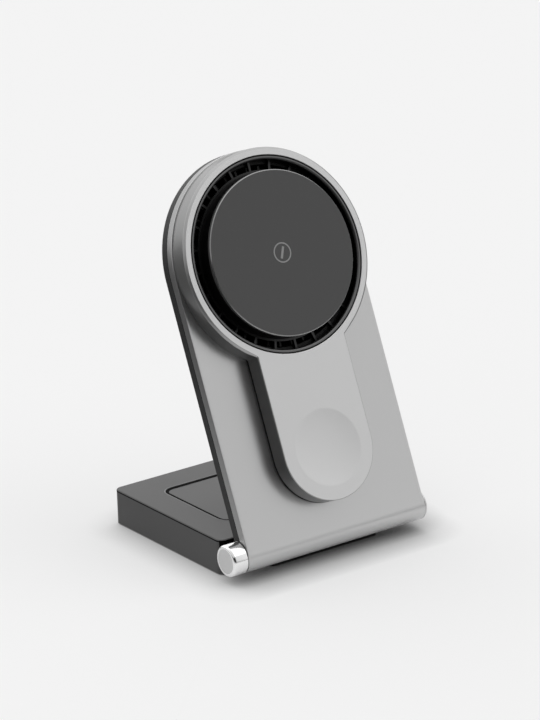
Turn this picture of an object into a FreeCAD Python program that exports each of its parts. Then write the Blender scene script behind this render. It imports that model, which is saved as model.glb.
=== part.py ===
"""Foldable wireless charging station, in millimetres, +Z up.

The origin lies on the desk under the middle of the base. X runs along the hinge, Y towards the back.
The panel's pieces are drawn in the panel's own frame: x along the hinge barrel, y up the panel from
the barrel's axis, z out of its front, and that frame leans back on the barrel.
"""
import FreeCAD, Part
import os

import Sketcher
from FreeCAD import Placement, Rotation, Vector

doc = FreeCAD.newDocument("charging_station")

# Driving dimensions, millimetres, and degrees for the lean
DIMENSIONS = {
    # Base slab, its feet and its place behind the barrel
    "base_width": 80.0,
    "base_depth": 64.2,
    "base_height": 12.4,
    "base_corner": 2.5,
    "base_edge": 0.4,
    "base_wall": 2.0,
    "base_roof": 2.4,
    "base_setback": 7.3,
    "bottom_thickness": 1.6,
    "bottom_clearance": 0.15,
    "foot_height": 0.4,
    "foot_margin": 4.0,
    "toe_width": 45.4,
    "toe_reach": 5.2,
    "toe_thickness": 1.2,
    "toe_corner": 2.0,
    # Earbud pad in the top of the base
    "recess_side": 11.2,
    "recess_front": 13.2,
    "recess_back": 12.4,
    "recess_depth": 1.2,
    "recess_corner": 4.5,
    "pad_groove": 0.9,
    "pad_drop": 0.25,
    "earbud_coil_outer": 34.0,
    "earbud_coil_inner": 16.0,
    "earbud_coil_height": 1.2,
    "earbud_ferrite_height": 0.8,
    # Power inlet, its board, the steel weight and the base screws
    "port_width": 8.94,
    "port_height": 3.26,
    "port_length": 7.4,
    "port_wall": 0.3,
    "port_corner": 1.45,
    "port_clearance": 0.1,
    "port_tongue_width": 6.7,
    "port_tongue_height": 0.7,
    "board_width": 40.0,
    "board_length": 16.0,
    "board_thickness": 1.6,
    "board_lift": 1.4,
    "standoff_diameter": 4.0,
    "ballast_margin": 5.0,
    "ballast_gap": 7.05,
    "ballast_headroom": 1.4,
    "base_screw_diameter": 2.0,
    "base_screw_head": 3.8,
    "base_screw_sink": 0.9,
    "base_screw_length": 6.0,
    "base_boss_diameter": 5.0,
    "base_screw_inset": 6.0,
    # Panel: front shell rolled into the barrel, and the back cover
    "lean": 22.55,
    "panel_margin": 0.4,
    "head_reach": 95.4,
    "barrel_radius": 5.5,
    "barrel_proud": 1.2,
    "shell_thickness": 2.95,
    "shell_edge": 0.6,
    "cover_depth": 3.85,
    "cover_wall": 1.55,
    "cover_edge": 0.8,
    "seam_reveal": 0.25,
    "barrel_gap": 0.1,
    # Fold hinge between the base's top front edge and the panel's back
    "fold_gap": 0.3,
    "knuckle_radius": 2.0,
    "knuckle_relief": 0.4,
    "pin_diameter": 2.0,
    "pin_clearance": 0.05,
    "leaf_width": 27.0,
    "leaf_length": 11.0,
    "leaf_clearance": 0.2,
    "ear_width": 8.0,
    "ear_gap": 0.35,
    "arm_clearance": 0.6,
    "bracket_length": 8.0,
    "bracket_thickness": 1.7,
    "bracket_screw_diameter": 2.0,
    "bracket_screw_head": 3.6,
    "bracket_screw_head_height": 1.2,
    "bracket_screw_grip": 1.6,
    "bracket_screw_spacing": 18.0,
    "hinge_screw_diameter": 2.0,
    "hinge_screw_head": 3.6,
    "hinge_screw_sink": 0.8,
    "hinge_screw_spacing": 16.0,
    "hinge_screw_grip": 1.8,
    "hinge_screw_inset": 3.85,
    # Turned end caps of the barrel
    "left_cap_length": 5.9,
    "right_cap_length": 1.2,
    "cap_edge": 0.5,
    "cap_groove": 0.35,
    "cap_groove_depth": 0.7,
    "cap_spigot_diameter": 5.8,
    "cap_spigot_length": 4.0,
    "cap_clearance": 0.1,
    # Raised keyhole module with the watch dish
    "gasket_thickness": 0.3,
    "gasket_inset": 0.2,
    "module_rise": 7.35,
    "module_wall": 1.6,
    "module_skin": 1.9,
    "module_edge": 0.7,
    "opening_diameter": 68.0,
    "head_rim": 2.8,
    "opening_edge": 0.4,
    "tongue_width": 36.4,
    "tongue_reach": 27.95,
    "neck_fillet": 2.5,
    "dish_diameter": 26.5,
    "dish_slope": 2.4,
    "dish_depth": 0.5,
    "module_screw_diameter": 2.0,
    "module_screw_head": 3.6,
    "module_screw_head_height": 1.2,
    "module_screw_grip": 3.5,
    "module_screw_inset": 5.0,
    "module_boss_diameter": 5.0,
    "watch_coil_outer": 22.0,
    "watch_coil_inner": 9.0,
    "watch_coil_height": 1.2,
    "watch_magnet_diameter": 7.0,
    "watch_ferrite_height": 0.8,
    "charge_board_width": 18.0,
    "charge_board_length": 13.0,
    "charge_board_thickness": 1.2,
    "charge_board_gap": 1.0,
    "charge_board_side": 0.5,
    # Phone pad stack in the head
    "vent_width": 5.5,
    "pad_proud": 3.15,
    "pad_thickness": 1.4,
    "pad_edge": 0.3,
    "carrier_wall": 0.9,
    "carrier_roof": 2.0,
    "carrier_clearance": 0.05,
    "magnet_clearance": 0.4,
    "magnet_width": 3.7,
    "magnet_gap": 0.2,
    "phone_coil_gap": 1.0,
    "phone_coil_inner": 16.0,
    "phone_coil_height": 1.4,
    "phone_ferrite_height": 0.8,
    # Bezel and vent guard round the pad
    "bezel_width": 1.4,
    "bezel_drop": 0.15,
    "bezel_edge": 0.6,
    "ring_clearance": 0.2,
    "guard_height": 1.2,
    "guard_ring_width": 0.8,
    "guard_drop": 3.25,
    "rib_width": 0.8,
    "rib_count": 24,
    # Blower under the pad
    "shell_ledge": 1.4,
    "fan_wall": 1.0,
    "fan_floor": 1.0,
    "fan_floor_gap": 0.2,
    "fan_inlet_diameter": 7.0,
    "fan_inlet_circle": 34.0,
    "fan_inlet_count": 8,
    "fan_boss_wall": 1.0,
    "fan_boss_height": 3.0,
    "bearing_diameter": 6.0,
    "bearing_height": 3.8,
    "shaft_diameter": 2.0,
    "shaft_clearance": 0.03,
    "shaft_lift": 0.2,
    "rotor_clearance": 0.5,
    "rotor_top_gap": 0.8,
    "rotor_hub_gap": 1.0,
    "rotor_hub_wall": 3.0,
    "rotor_disc_diameter": 48.0,
    "rotor_disc_height": 1.0,
    "rotor_roof": 1.6,
    "blade_overlap": 3.0,
    "blade_thickness": 0.8,
    "blade_count": 40,
    # Air inlet slots in the back cover
    "slot_count": 18,
    "slot_width": 1.6,
    "slot_inner_diameter": 26.0,
    "slot_outer_diameter": 46.0,
}

sheet = doc.addObject("Spreadsheet::Sheet", "Dims")
for row, (alias, value) in enumerate(DIMENSIONS.items(), start=1):
    sheet.set(f"A{row}", alias)
    sheet.set(f"B{row}", str(value))
    sheet.setAlias(f"B{row}", alias)
doc.recompute()

# Levels and places that follow from the dimensions, as expressions
SIN = "sin(Dims.lean * 1 deg)"
COS = "cos(Dims.lean * 1 deg)"
BARREL_Y = "-(Dims.base_depth / 2 + Dims.base_setback)"
BASE_FRONT = "-Dims.base_depth / 2"
BASE_BACK = "Dims.base_depth / 2"
BASE_TOP = "(Dims.foot_height + Dims.base_height)"
ROOF_UNDER = f"({BASE_TOP} - Dims.base_roof)"
BOTTOM_TOP = "(Dims.foot_height + Dims.bottom_thickness)"
RECESS_WIDTH = "(Dims.base_width - 2 * Dims.recess_side)"
RECESS_LOW = f"({BASE_FRONT} + Dims.recess_front)"
RECESS_HIGH = f"({BASE_BACK} - Dims.recess_back)"
RECESS_Y = f"(({RECESS_LOW} + {RECESS_HIGH}) / 2)"
EARBUD_FERRITE_UNDER = f"({ROOF_UNDER} - Dims.earbud_coil_height - Dims.earbud_ferrite_height)"
BOARD_BACK = f"({BASE_BACK} - Dims.base_wall - Dims.bottom_clearance)"
BOARD_TOP = f"({BOTTOM_TOP} + Dims.board_lift + Dims.board_thickness)"
BARREL_Z = f"({BASE_TOP} + Dims.barrel_proud - Dims.barrel_radius)"
SHELL_BACK = "(Dims.barrel_radius - Dims.shell_thickness)"
COVER_FRONT = f"({SHELL_BACK} - Dims.seam_reveal)"
COVER_BACK = f"({COVER_FRONT} - Dims.cover_depth)"
COVER_INSIDE = f"({COVER_BACK} + Dims.cover_wall)"
MODULE_BACK = "(Dims.barrel_radius + Dims.gasket_thickness)"
MODULE_FACE = "(Dims.barrel_radius + Dims.module_rise)"
TONGUE_CEILING = f"({MODULE_FACE} - Dims.module_skin)"
HEAD_RADIUS = "(Dims.opening_diameter / 2 + Dims.head_rim)"
PANEL_HALF = f"({HEAD_RADIUS} + Dims.panel_margin)"
TONGUE_END = f"(Dims.head_reach - {HEAD_RADIUS} - Dims.module_wall)"
# The fold axis lies where the panel's back meets the folded gap over the base's top
AXIS_Z = f"({BASE_TOP} + Dims.fold_gap)"
AXIS_RISE = f"({AXIS_Z} - {BARREL_Z})"
AXIS_SETBACK = f"(({AXIS_RISE} * {SIN} - {COVER_BACK}) / {COS})"
AXIS_Y = f"({BARREL_Y} + {AXIS_SETBACK})"
AXIS_REACH = f"({AXIS_SETBACK} * {SIN} + {AXIS_RISE} * {COS})"
RELIEF_RADIUS = "(Dims.knuckle_radius + Dims.knuckle_relief)"
EAR_INSIDE = "(Dims.leaf_width / 2 + Dims.ear_gap)"
EAR_OUTSIDE = f"({EAR_INSIDE} + Dims.ear_width)"
# Levels in the head, from the pad down to the fan's floor
PAD_TOP = f"({MODULE_FACE} + Dims.pad_proud)"
CARRIER_TOP = f"({PAD_TOP} - Dims.pad_thickness)"
CARRIER_CEILING = f"({CARRIER_TOP} - Dims.carrier_roof)"
PHONE_COIL_BACK = f"({CARRIER_CEILING} - Dims.phone_coil_height)"
PHONE_FERRITE_BACK = f"({PHONE_COIL_BACK} - Dims.phone_ferrite_height)"
GUARD_TOP = f"({MODULE_FACE} - Dims.guard_drop)"
GUARD_BOTTOM = f"({GUARD_TOP} - Dims.guard_height)"
BEZEL_TOP = f"({MODULE_FACE} - Dims.bezel_drop)"
PAD_RADIUS = "(Dims.opening_diameter / 2 - Dims.vent_width)"
CARRIER_INSIDE = f"({PAD_RADIUS} - Dims.carrier_wall)"
MAGNET_OUTSIDE = f"({CARRIER_INSIDE} - Dims.magnet_clearance)"
MAGNET_INSIDE = f"({MAGNET_OUTSIDE} - Dims.magnet_width)"
PHONE_COIL_RADIUS = f"({MAGNET_INSIDE} - Dims.phone_coil_gap)"
RING_RADIUS = "(Dims.opening_diameter / 2 - Dims.ring_clearance)"
FAN_BOTTOM = f"({COVER_INSIDE} + Dims.fan_floor_gap)"
FAN_FLOOR_TOP = f"({FAN_BOTTOM} + Dims.fan_floor)"
SHELL_OPENING = "(Dims.opening_diameter / 2 - Dims.shell_ledge)"
FAN_RADIUS = f"({SHELL_OPENING} - Dims.ring_clearance)"
FAN_BOSS = "(Dims.bearing_diameter / 2 + Dims.fan_boss_wall)"
ROTOR_TOP = f"({GUARD_BOTTOM} - Dims.rotor_top_gap)"
ROTOR_RADIUS = f"({FAN_RADIUS} - Dims.fan_wall - Dims.rotor_clearance)"


def value(expression):
    """The number that an expression on the sheet comes to."""
    return float(sheet.evalExpression(expression))


def bind(thing, **expressions):
    """Ties properties to the sheet; a double underscore stands for the dot of a nested property."""
    for name, expression in expressions.items():
        thing.setExpression(name.replace("__", "."), str(expression))
    return thing


def place(thing, x="0", y="0", z="0", turn=Rotation()):
    thing.Placement = Placement(Vector(), turn)
    return bind(thing, Placement__Base__x=x, Placement__Base__y=y, Placement__Base__z=z)


def place_in_panel(thing, reach="0", rise="0"):
    """Stands a piece drawn in the panel's frame on the barrel, up the panel by reach, out by rise."""
    thing.Placement = Placement(Vector(), Rotation(Vector(1, 0, 0), 45))
    return bind(
        thing,
        Placement__Rotation__Angle="90 deg - Dims.lean * 1 deg",
        Placement__Base__y=f"{BARREL_Y} + ({reach}) * {SIN} - ({rise}) * {COS}",
        Placement__Base__z=f"{BARREL_Z} + ({reach}) * {COS} + ({rise}) * {SIN}",
    )


# Part primitives


def box(name, width, length, height, x, y, z):
    """A box centred on x, from y and z upwards."""
    block = doc.addObject("Part::Box", name)
    bind(block, Length=width, Width=length, Height=height)
    return place(block, x=f"({x}) - ({width}) / 2", y=y, z=z)


def cylinder(name, radius, bottom, top, x="0", y="0"):
    rod = doc.addObject("Part::Cylinder", name)
    bind(rod, Radius=radius, Height=f"({top}) - ({bottom})")
    return place(rod, x=x, y=y, z=bottom)


def cylinder_along_x(name, radius, half_length, y, z):
    rod = doc.addObject("Part::Cylinder", name)
    bind(rod, Radius=radius, Height=f"2 * ({half_length})")
    return place(rod, x=f"-({half_length})", y=y, z=z, turn=Rotation(Vector(0, 1, 0), 90))


def cut(name, base, tool):
    result = doc.addObject("Part::Cut", name)
    result.Base = base
    result.Tool = tool
    return result


def fuse(name, *shapes):
    result = doc.addObject("Part::MultiFuse", name)
    result.Shapes = list(shapes)
    return result


def group(name, *shapes):
    """Like pieces that share one node, as separate solids."""
    result = doc.addObject("Part::Compound", name)
    result.Links = list(shapes)
    return result


def tube(name, outer, inner, bottom, top, x="0", y="0"):
    return cut(
        name,
        cylinder(f"{name}_outer", outer, bottom, top, x, y),
        cylinder(f"{name}_bore", inner, bottom, top, x, y),
    )


# Sketches and features of a body


def new_body(name):
    return doc.addObject("PartDesign::Body", name)


def sketch_on(body, name, role, offset="0"):
    sketch = body.newObject("Sketcher::SketchObject", f"{body.Name}_{name}")
    plane = next(feature for feature in body.Origin.OriginFeatures if feature.Role == role)
    sketch.AttachmentSupport = [(plane, "")]
    sketch.MapMode = "FlatFace"
    return bind(sketch, AttachmentOffset__Base__z=offset)


def dimension(sketch, name, expression, kind, *places):
    index = sketch.addConstraint(Sketcher.Constraint(kind, *places, value(expression)))
    sketch.renameConstraint(index, name)
    sketch.setExpression(f"Constraints.{name}", expression)


def fix_point(sketch, name, edge, end, x, y):
    dimension(sketch, f"{name}_x", x, "DistanceX", -1, 1, edge, end)
    dimension(sketch, f"{name}_y", y, "DistanceY", -1, 1, edge, end)


def draw_circle(sketch, name, radius, x="0", y="0"):
    centre = Vector(value(x), value(y), 0)
    edge = sketch.addGeometry(Part.Circle(centre, Vector(0, 0, 1), value(radius)))
    dimension(sketch, f"{name}_radius", radius, "Radius", edge)
    fix_point(sketch, name, edge, 3, x, y)


def draw_loop(sketch, name, corners, arcs=()):
    """A closed outline through corners, each an (x, y) pair. arcs maps the number of an edge to its arc:
    the centre's x and y, the direction, and which of the two coordinates fixes the centre."""
    arcs = dict(arcs)
    points = [Vector(value(x), value(y), 0) for x, y in corners]
    ends = []
    for number, start in enumerate(points):
        finish = points[(number + 1) % len(points)]
        if number in arcs:
            x, y, turn, fixed = arcs[number]
            centre = Vector(value(x), value(y), 0)
            first, last = (start, finish) if turn == "ccw" else (finish, start)
            circle = Part.Circle(centre, Vector(0, 0, 1), (first - centre).Length)
            arc = Part.ArcOfCircle(circle, circle.parameter(first), circle.parameter(last))
            edge = sketch.addGeometry(arc)
            ends.append((edge, 1, 2) if turn == "ccw" else (edge, 2, 1))
            axis = "DistanceX" if fixed == "x" else "DistanceY"
            dimension(sketch, f"{name}_centre_{number}", x if fixed == "x" else y, axis, -1, 1, edge, 3)
        else:
            edge = sketch.addGeometry(Part.LineSegment(start, finish))
            ends.append((edge, 1, 2))
    for number, (edge, start, _) in enumerate(ends):
        before, _, finish = ends[number - 1]
        sketch.addConstraint(Sketcher.Constraint("Coincident", before, finish, edge, start))
        fix_point(sketch, f"{name}_{number}", edge, start, *corners[number])


def draw_rectangle(sketch, name, width, low, high):
    """A rectangle centred on the sketch's vertical axis."""
    left, right = f"-({width}) / 2", f"({width}) / 2"
    draw_loop(sketch, name, [(left, low), (right, low), (right, high), (left, high)])


def feature(body, kind, name, sketch, length, reverse=False):
    made = body.newObject(f"PartDesign::{kind}", f"{body.Name}_{name}")
    made.Profile = sketch
    made.Reversed = reverse
    bind(made, Length=length)
    doc.recompute()
    return made


def extrude(body, name, role, bottom, top, draw, kind="Pad"):
    """Pads, or pockets, what draw puts on a sketch, between two levels along the plane's normal."""
    sketch = sketch_on(body, f"{name}_sketch", role, bottom)
    draw(sketch)
    return feature(body, kind, name, sketch, f"({top}) - ({bottom})", reverse=kind == "Pocket")


def revolve(body, name, role, draw, kind="Revolution", axis="V_Axis"):
    sketch = sketch_on(body, f"{name}_sketch", role)
    draw(sketch)
    made = body.newObject(f"PartDesign::{kind}", f"{body.Name}_{name}")
    made.Profile = sketch
    made.ReferenceAxis = (sketch, [axis])
    made.Angle = 360
    doc.recompute()
    return made


def repeat_round(body, name, originals, count):
    """Copies features evenly round the body's Z axis."""
    pattern = body.newObject("PartDesign::PolarPattern", f"{body.Name}_{name}")
    pattern.Originals = originals
    axis = next(feature for feature in body.Origin.OriginFeatures if feature.Role == "Z_Axis")
    pattern.Axis = (axis, [""])
    pattern.Angle = 360
    bind(pattern, Occurrences=count)
    body.Tip = pattern
    doc.recompute()
    return pattern


def soften(body, name, base, choose, size, kind="Fillet"):
    """Rounds or bevels the edges of base that choose picks by their shape."""
    names = [f"Edge{n}" for n, edge in enumerate(base.Shape.Edges, start=1) if choose(edge)]
    made = body.newObject(f"PartDesign::{kind}", f"{body.Name}_{name}")
    made.Base = (base, names)
    bind(made, **{"Radius" if kind == "Fillet" else "Size": size})
    body.Tip = made
    doc.recompute()
    return made


def lies_at(level):
    """Picks edges that lie in the plane z = level."""
    height = value(level)
    return lambda edge: max(abs(edge.BoundBox.ZMin - height), abs(edge.BoundBox.ZMax - height)) < 1e-4


def stands_at_corner(width, low, high):
    """Picks upright edges at the corners of a rectangle centred on x = 0."""
    half, low, high = value(width) / 2, value(low), value(high)

    def choose(edge):
        limits = edge.BoundBox
        upright = limits.XLength < 1e-4 and limits.YLength < 1e-4
        at_end = min(abs(limits.YMin - low), abs(limits.YMin - high)) < 1e-3
        return upright and at_end and abs(abs(limits.XMin) - half) < 1e-3

    return choose


pieces = []


def keep(piece, label):
    piece.Label = label
    pieces.append(piece)
    return piece


# Base housing: a moulded slab, open underneath, with a recess in its top


def make_base_housing():
    body = new_body("base_housing")
    slab = extrude(
        body, "slab", "XY_Plane", "Dims.foot_height", BASE_TOP,
        lambda s: draw_rectangle(s, "slab", "Dims.base_width", BASE_FRONT, BASE_BACK),
    )
    corners = stands_at_corner("Dims.base_width", BASE_FRONT, BASE_BACK)
    rounded = soften(body, "corners", slab, corners, "Dims.base_corner")
    soften(body, "top_edge", rounded, lies_at(BASE_TOP), "Dims.base_edge")

    inner_width = "Dims.base_width - 2 * Dims.base_wall"
    extrude(
        body, "hollow", "XY_Plane", "Dims.foot_height", ROOF_UNDER,
        lambda s: draw_rectangle(
            s, "hollow", inner_width, f"{BASE_FRONT} + Dims.base_wall", f"{BASE_BACK} - Dims.base_wall"),
        kind="Pocket",
    )
    recess = extrude(
        body, "recess", "XY_Plane", f"{BASE_TOP} - Dims.recess_depth", BASE_TOP,
        lambda s: draw_rectangle(s, "recess", RECESS_WIDTH, RECESS_LOW, RECESS_HIGH),
        kind="Pocket",
    )
    recess_corners = stands_at_corner(RECESS_WIDTH, RECESS_LOW, RECESS_HIGH)
    soften(body, "recess_corners", recess, recess_corners, "Dims.recess_corner")

    # Notch under the front wall for the toe, and two notches in the roof for the hinge ears
    extrude(
        body, "toe_notch", "XY_Plane", "Dims.foot_height",
        "Dims.foot_height + Dims.toe_thickness + Dims.bottom_clearance",
        lambda s: draw_rectangle(
            s, "toe", "Dims.toe_width + 2 * Dims.bottom_clearance",
            BASE_FRONT, f"{BASE_FRONT} + Dims.base_wall"),
        kind="Pocket",
    )
    for side in (-1, 1):
        inside = f"{side} * ({EAR_INSIDE} - Dims.bottom_clearance)"
        outside = f"{side} * ({EAR_OUTSIDE} + Dims.bottom_clearance)"
        left, right = (inside, outside) if side > 0 else (outside, inside)
        back = f"{BASE_FRONT} + Dims.base_wall + Dims.bracket_length / 2 + Dims.bottom_clearance"
        extrude(
            body, f"ear_notch_{'left' if side < 0 else 'right'}", "XY_Plane", ROOF_UNDER, BASE_TOP,
            lambda s: draw_loop(
                s, "notch", [(left, BASE_FRONT), (right, BASE_FRONT), (right, back), (left, back)]),
            kind="Pocket",
        )

    for number, (x, y) in enumerate(bracket_screw_places()):
        extrude(
            body, f"bracket_screw_hole_{number}", "XY_Plane",
            ROOF_UNDER, f"{ROOF_UNDER} + Dims.bracket_screw_grip",
            lambda s: draw_circle(s, "hole", "Dims.bracket_screw_diameter / 2", x, y),
            kind="Pocket",
        )

    # Slot in the back wall for the power inlet
    extrude(
        body, "port_slot", "XY_Plane", f"{BOARD_TOP} - Dims.port_clearance",
        f"{BOARD_TOP} + Dims.port_height + Dims.port_clearance",
        lambda s: draw_rectangle(
            s, "port", "Dims.port_width + 2 * Dims.port_clearance",
            f"{BASE_BACK} - Dims.base_wall - Dims.port_clearance", BASE_BACK),
        kind="Pocket",
    )

    # Screw bosses that hang from the roof in the four corners
    for number, (x, y) in enumerate(base_screw_places()):
        extrude(
            body, f"boss_{number}", "XY_Plane", BOTTOM_TOP, ROOF_UNDER,
            lambda s: draw_circle(s, "boss", "Dims.base_boss_diameter / 2", x, y),
        )
        extrude(
            body, f"boss_hole_{number}", "XY_Plane", BOTTOM_TOP,
            "Dims.foot_height + Dims.base_screw_length",
            lambda s: draw_circle(s, "hole", "Dims.base_screw_diameter / 2", x, y),
            kind="Pocket",
        )
    return keep(body, "base_housing")


def base_screw_places():
    across = "(Dims.base_width / 2 - Dims.base_screw_inset)"
    along = "(Dims.base_depth / 2 - Dims.base_screw_inset)"
    return [(f"{i} * {across}", f"{j} * {along}") for j in (-1, 1) for i in (-1, 1)]


def make_earbud_pad():
    """Soft inlay that lies in the recess with a groove all round."""
    body = new_body("earbud_pad")
    width = f"({RECESS_WIDTH} - 2 * Dims.pad_groove)"
    low, high = f"{RECESS_LOW} + Dims.pad_groove", f"{RECESS_HIGH} - Dims.pad_groove"
    inlay = extrude(
        body, "inlay", "XY_Plane", f"{BASE_TOP} - Dims.recess_depth", f"{BASE_TOP} - Dims.pad_drop",
        lambda s: draw_rectangle(s, "inlay", width, low, high),
    )
    corners = stands_at_corner(width, low, high)
    soften(body, "corners", inlay, corners, "Dims.recess_corner - Dims.pad_groove")
    return keep(body, "earbud_pad")


def make_earbud_charger():
    """Coil glued under the roof, with a ferrite disc behind it."""
    coil_bottom = f"({ROOF_UNDER} - Dims.earbud_coil_height)"
    outer = "Dims.earbud_coil_outer / 2"
    coil = tube("earbud_coil", outer, "Dims.earbud_coil_inner / 2", coil_bottom, ROOF_UNDER, y=RECESS_Y)
    keep(coil, "earbud_coil")
    ferrite = cylinder("earbud_ferrite", outer, EARBUD_FERRITE_UNDER, coil_bottom, y=RECESS_Y)
    keep(ferrite, "earbud_ferrite")


def make_base_bottom_cover():
    """Plate let into the housing, with the flat toe that reaches forward under the barrel."""
    body = new_body("base_bottom_cover")
    inset = "(Dims.base_wall + Dims.bottom_clearance)"
    extrude(
        body, "plate", "XY_Plane", "Dims.foot_height", BOTTOM_TOP,
        lambda s: draw_rectangle(
            s, "plate", f"Dims.base_width - 2 * {inset}",
            f"{BASE_FRONT} + {inset}", f"{BASE_BACK} - {inset}"),
    )
    toe_front = f"{BARREL_Y} + Dims.base_setback - Dims.toe_reach"
    toe = extrude(
        body, "toe", "XY_Plane", "Dims.foot_height", "Dims.foot_height + Dims.toe_thickness",
        lambda s: draw_rectangle(s, "toe", "Dims.toe_width", toe_front, f"{BASE_FRONT} + 2 * {inset}"),
    )
    corners = stands_at_corner("Dims.toe_width", toe_front, toe_front)
    soften(body, "toe_corners", toe, corners, "Dims.toe_corner")
    for number, (x, y) in enumerate(board_post_places()):
        extrude(
            body, f"post_{number}", "XY_Plane", BOTTOM_TOP, f"{BOTTOM_TOP} + Dims.board_lift",
            lambda s: draw_circle(s, "post", "Dims.standoff_diameter / 2", x, y),
        )
    for number, (x, y) in enumerate(base_screw_places()):
        extrude(
            body, f"screw_hole_{number}", "XY_Plane", "Dims.foot_height", BOTTOM_TOP,
            lambda s: draw_circle(s, "hole", "Dims.base_screw_diameter / 2", x, y),
            kind="Pocket",
        )
        extrude(
            body, f"screw_sink_{number}", "XY_Plane",
            "Dims.foot_height", "Dims.foot_height + Dims.base_screw_sink",
            lambda s: draw_circle(s, "sink", "Dims.base_screw_head / 2", x, y),
            kind="Pocket",
        )
    return keep(body, "base_bottom_cover")


def board_post_places():
    across = "(Dims.board_width / 2 - Dims.standoff_diameter)"
    front = f"({BOARD_BACK} - Dims.board_length + Dims.standoff_diameter)"
    back = f"({BOARD_BACK} - Dims.standoff_diameter)"
    return [(f"{side} * {across}", y) for y in (front, back) for side in (-1, 1)]


def make_base_electronics():
    """Power board on the cover's posts, with the inlet at its back edge, and the steel weight in front."""
    board_bottom = f"{BOTTOM_TOP} + Dims.board_lift"
    board = box("base_board", "Dims.board_width", "Dims.board_length", "Dims.board_thickness",
                "0", f"{BOARD_BACK} - Dims.board_length", board_bottom)
    keep(board, "base_board")

    body = new_body("usb_c_port")
    port_front = f"({BASE_BACK} - Dims.port_length)"
    shell = extrude(
        body, "shell", "XZ_Plane", f"-({BASE_BACK})", f"-{port_front}",
        lambda s: draw_rectangle(
            s, "shell", "Dims.port_width", BOARD_TOP, f"{BOARD_TOP} + Dims.port_height"),
    )
    full_length = value("Dims.port_length") - 1e-3
    soften(body, "ends", shell, lambda edge: edge.BoundBox.YLength > full_length, "Dims.port_corner")
    mouth_front = f"({port_front} + Dims.port_wall)"
    extrude(
        body, "mouth", "XZ_Plane", f"-({BASE_BACK})", f"-{mouth_front}",
        lambda s: draw_rectangle(
            s, "mouth", "Dims.port_width - 2 * Dims.port_corner",
            f"{BOARD_TOP} + Dims.port_wall", f"{BOARD_TOP} + Dims.port_height - Dims.port_wall"),
        kind="Pocket",
    )
    middle = f"({BOARD_TOP} + Dims.port_height / 2)"
    extrude(
        body, "contacts", "XZ_Plane", f"-({BASE_BACK} - Dims.port_wall)", f"-{mouth_front}",
        lambda s: draw_rectangle(
            s, "contacts", "Dims.port_tongue_width - Dims.port_wall",
            f"{middle} - Dims.port_tongue_height / 2", f"{middle} + Dims.port_tongue_height / 2"),
    )
    keep(body, "usb_c_port")

    ballast_front = f"({BASE_FRONT} + Dims.base_wall + Dims.bracket_length + Dims.ballast_margin)"
    ballast_back = f"({BOARD_BACK} - Dims.board_length - Dims.ballast_gap)"
    ballast_width = "Dims.base_width - 2 * (Dims.base_wall + Dims.ballast_margin)"
    ballast_height = f"{EARBUD_FERRITE_UNDER} - Dims.ballast_headroom - {BOTTOM_TOP}"
    ballast = box("ballast_plate", ballast_width, f"{ballast_back} - {ballast_front}", ballast_height,
                  "0", ballast_front, BOTTOM_TOP)
    keep(ballast, "ballast_plate")


def screw(name, diameter, head, head_bottom, head_top, tip, x, y):
    """A plain screw that points up Z, with a flat head."""
    return fuse(
        name,
        cylinder(f"{name}_head", f"{head} / 2", head_bottom, head_top, x, y),
        cylinder(f"{name}_shank", f"{diameter} / 2", head_top, tip, x, y),
    )


def make_base_fixings():
    screws = [
        screw(f"base_screw_{number}", "Dims.base_screw_diameter", "Dims.base_screw_head",
              "Dims.foot_height", "Dims.foot_height + Dims.base_screw_sink",
              "Dims.foot_height + Dims.base_screw_length", x, y)
        for number, (x, y) in enumerate(base_screw_places())
    ]
    keep(group("base_screws", *screws), "base_screws")

    body = new_body("foot_pad")
    foot_width = "(Dims.base_width - 2 * Dims.foot_margin)"
    low, high = f"{BASE_FRONT} + Dims.foot_margin", f"{BASE_BACK} - Dims.foot_margin"
    foot = extrude(
        body, "sheet", "XY_Plane", "0", "Dims.foot_height",
        lambda s: draw_rectangle(s, "sheet", foot_width, low, high),
    )
    soften(body, "corners", foot, stands_at_corner(foot_width, low, high), "Dims.base_corner")
    keep(body, "foot_pad")

    toe_front = f"{BASE_FRONT} - Dims.toe_reach + Dims.toe_corner / 2"
    keep(box("front_foot", "Dims.toe_width - 2 * Dims.toe_corner", f"{BASE_FRONT} - ({toe_front})",
             "Dims.foot_height", "0", toe_front, "0"), "front_foot")


# Fold hinge: two ears on a bracket in the base, one knuckle leaf in the panel, one pin


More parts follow.
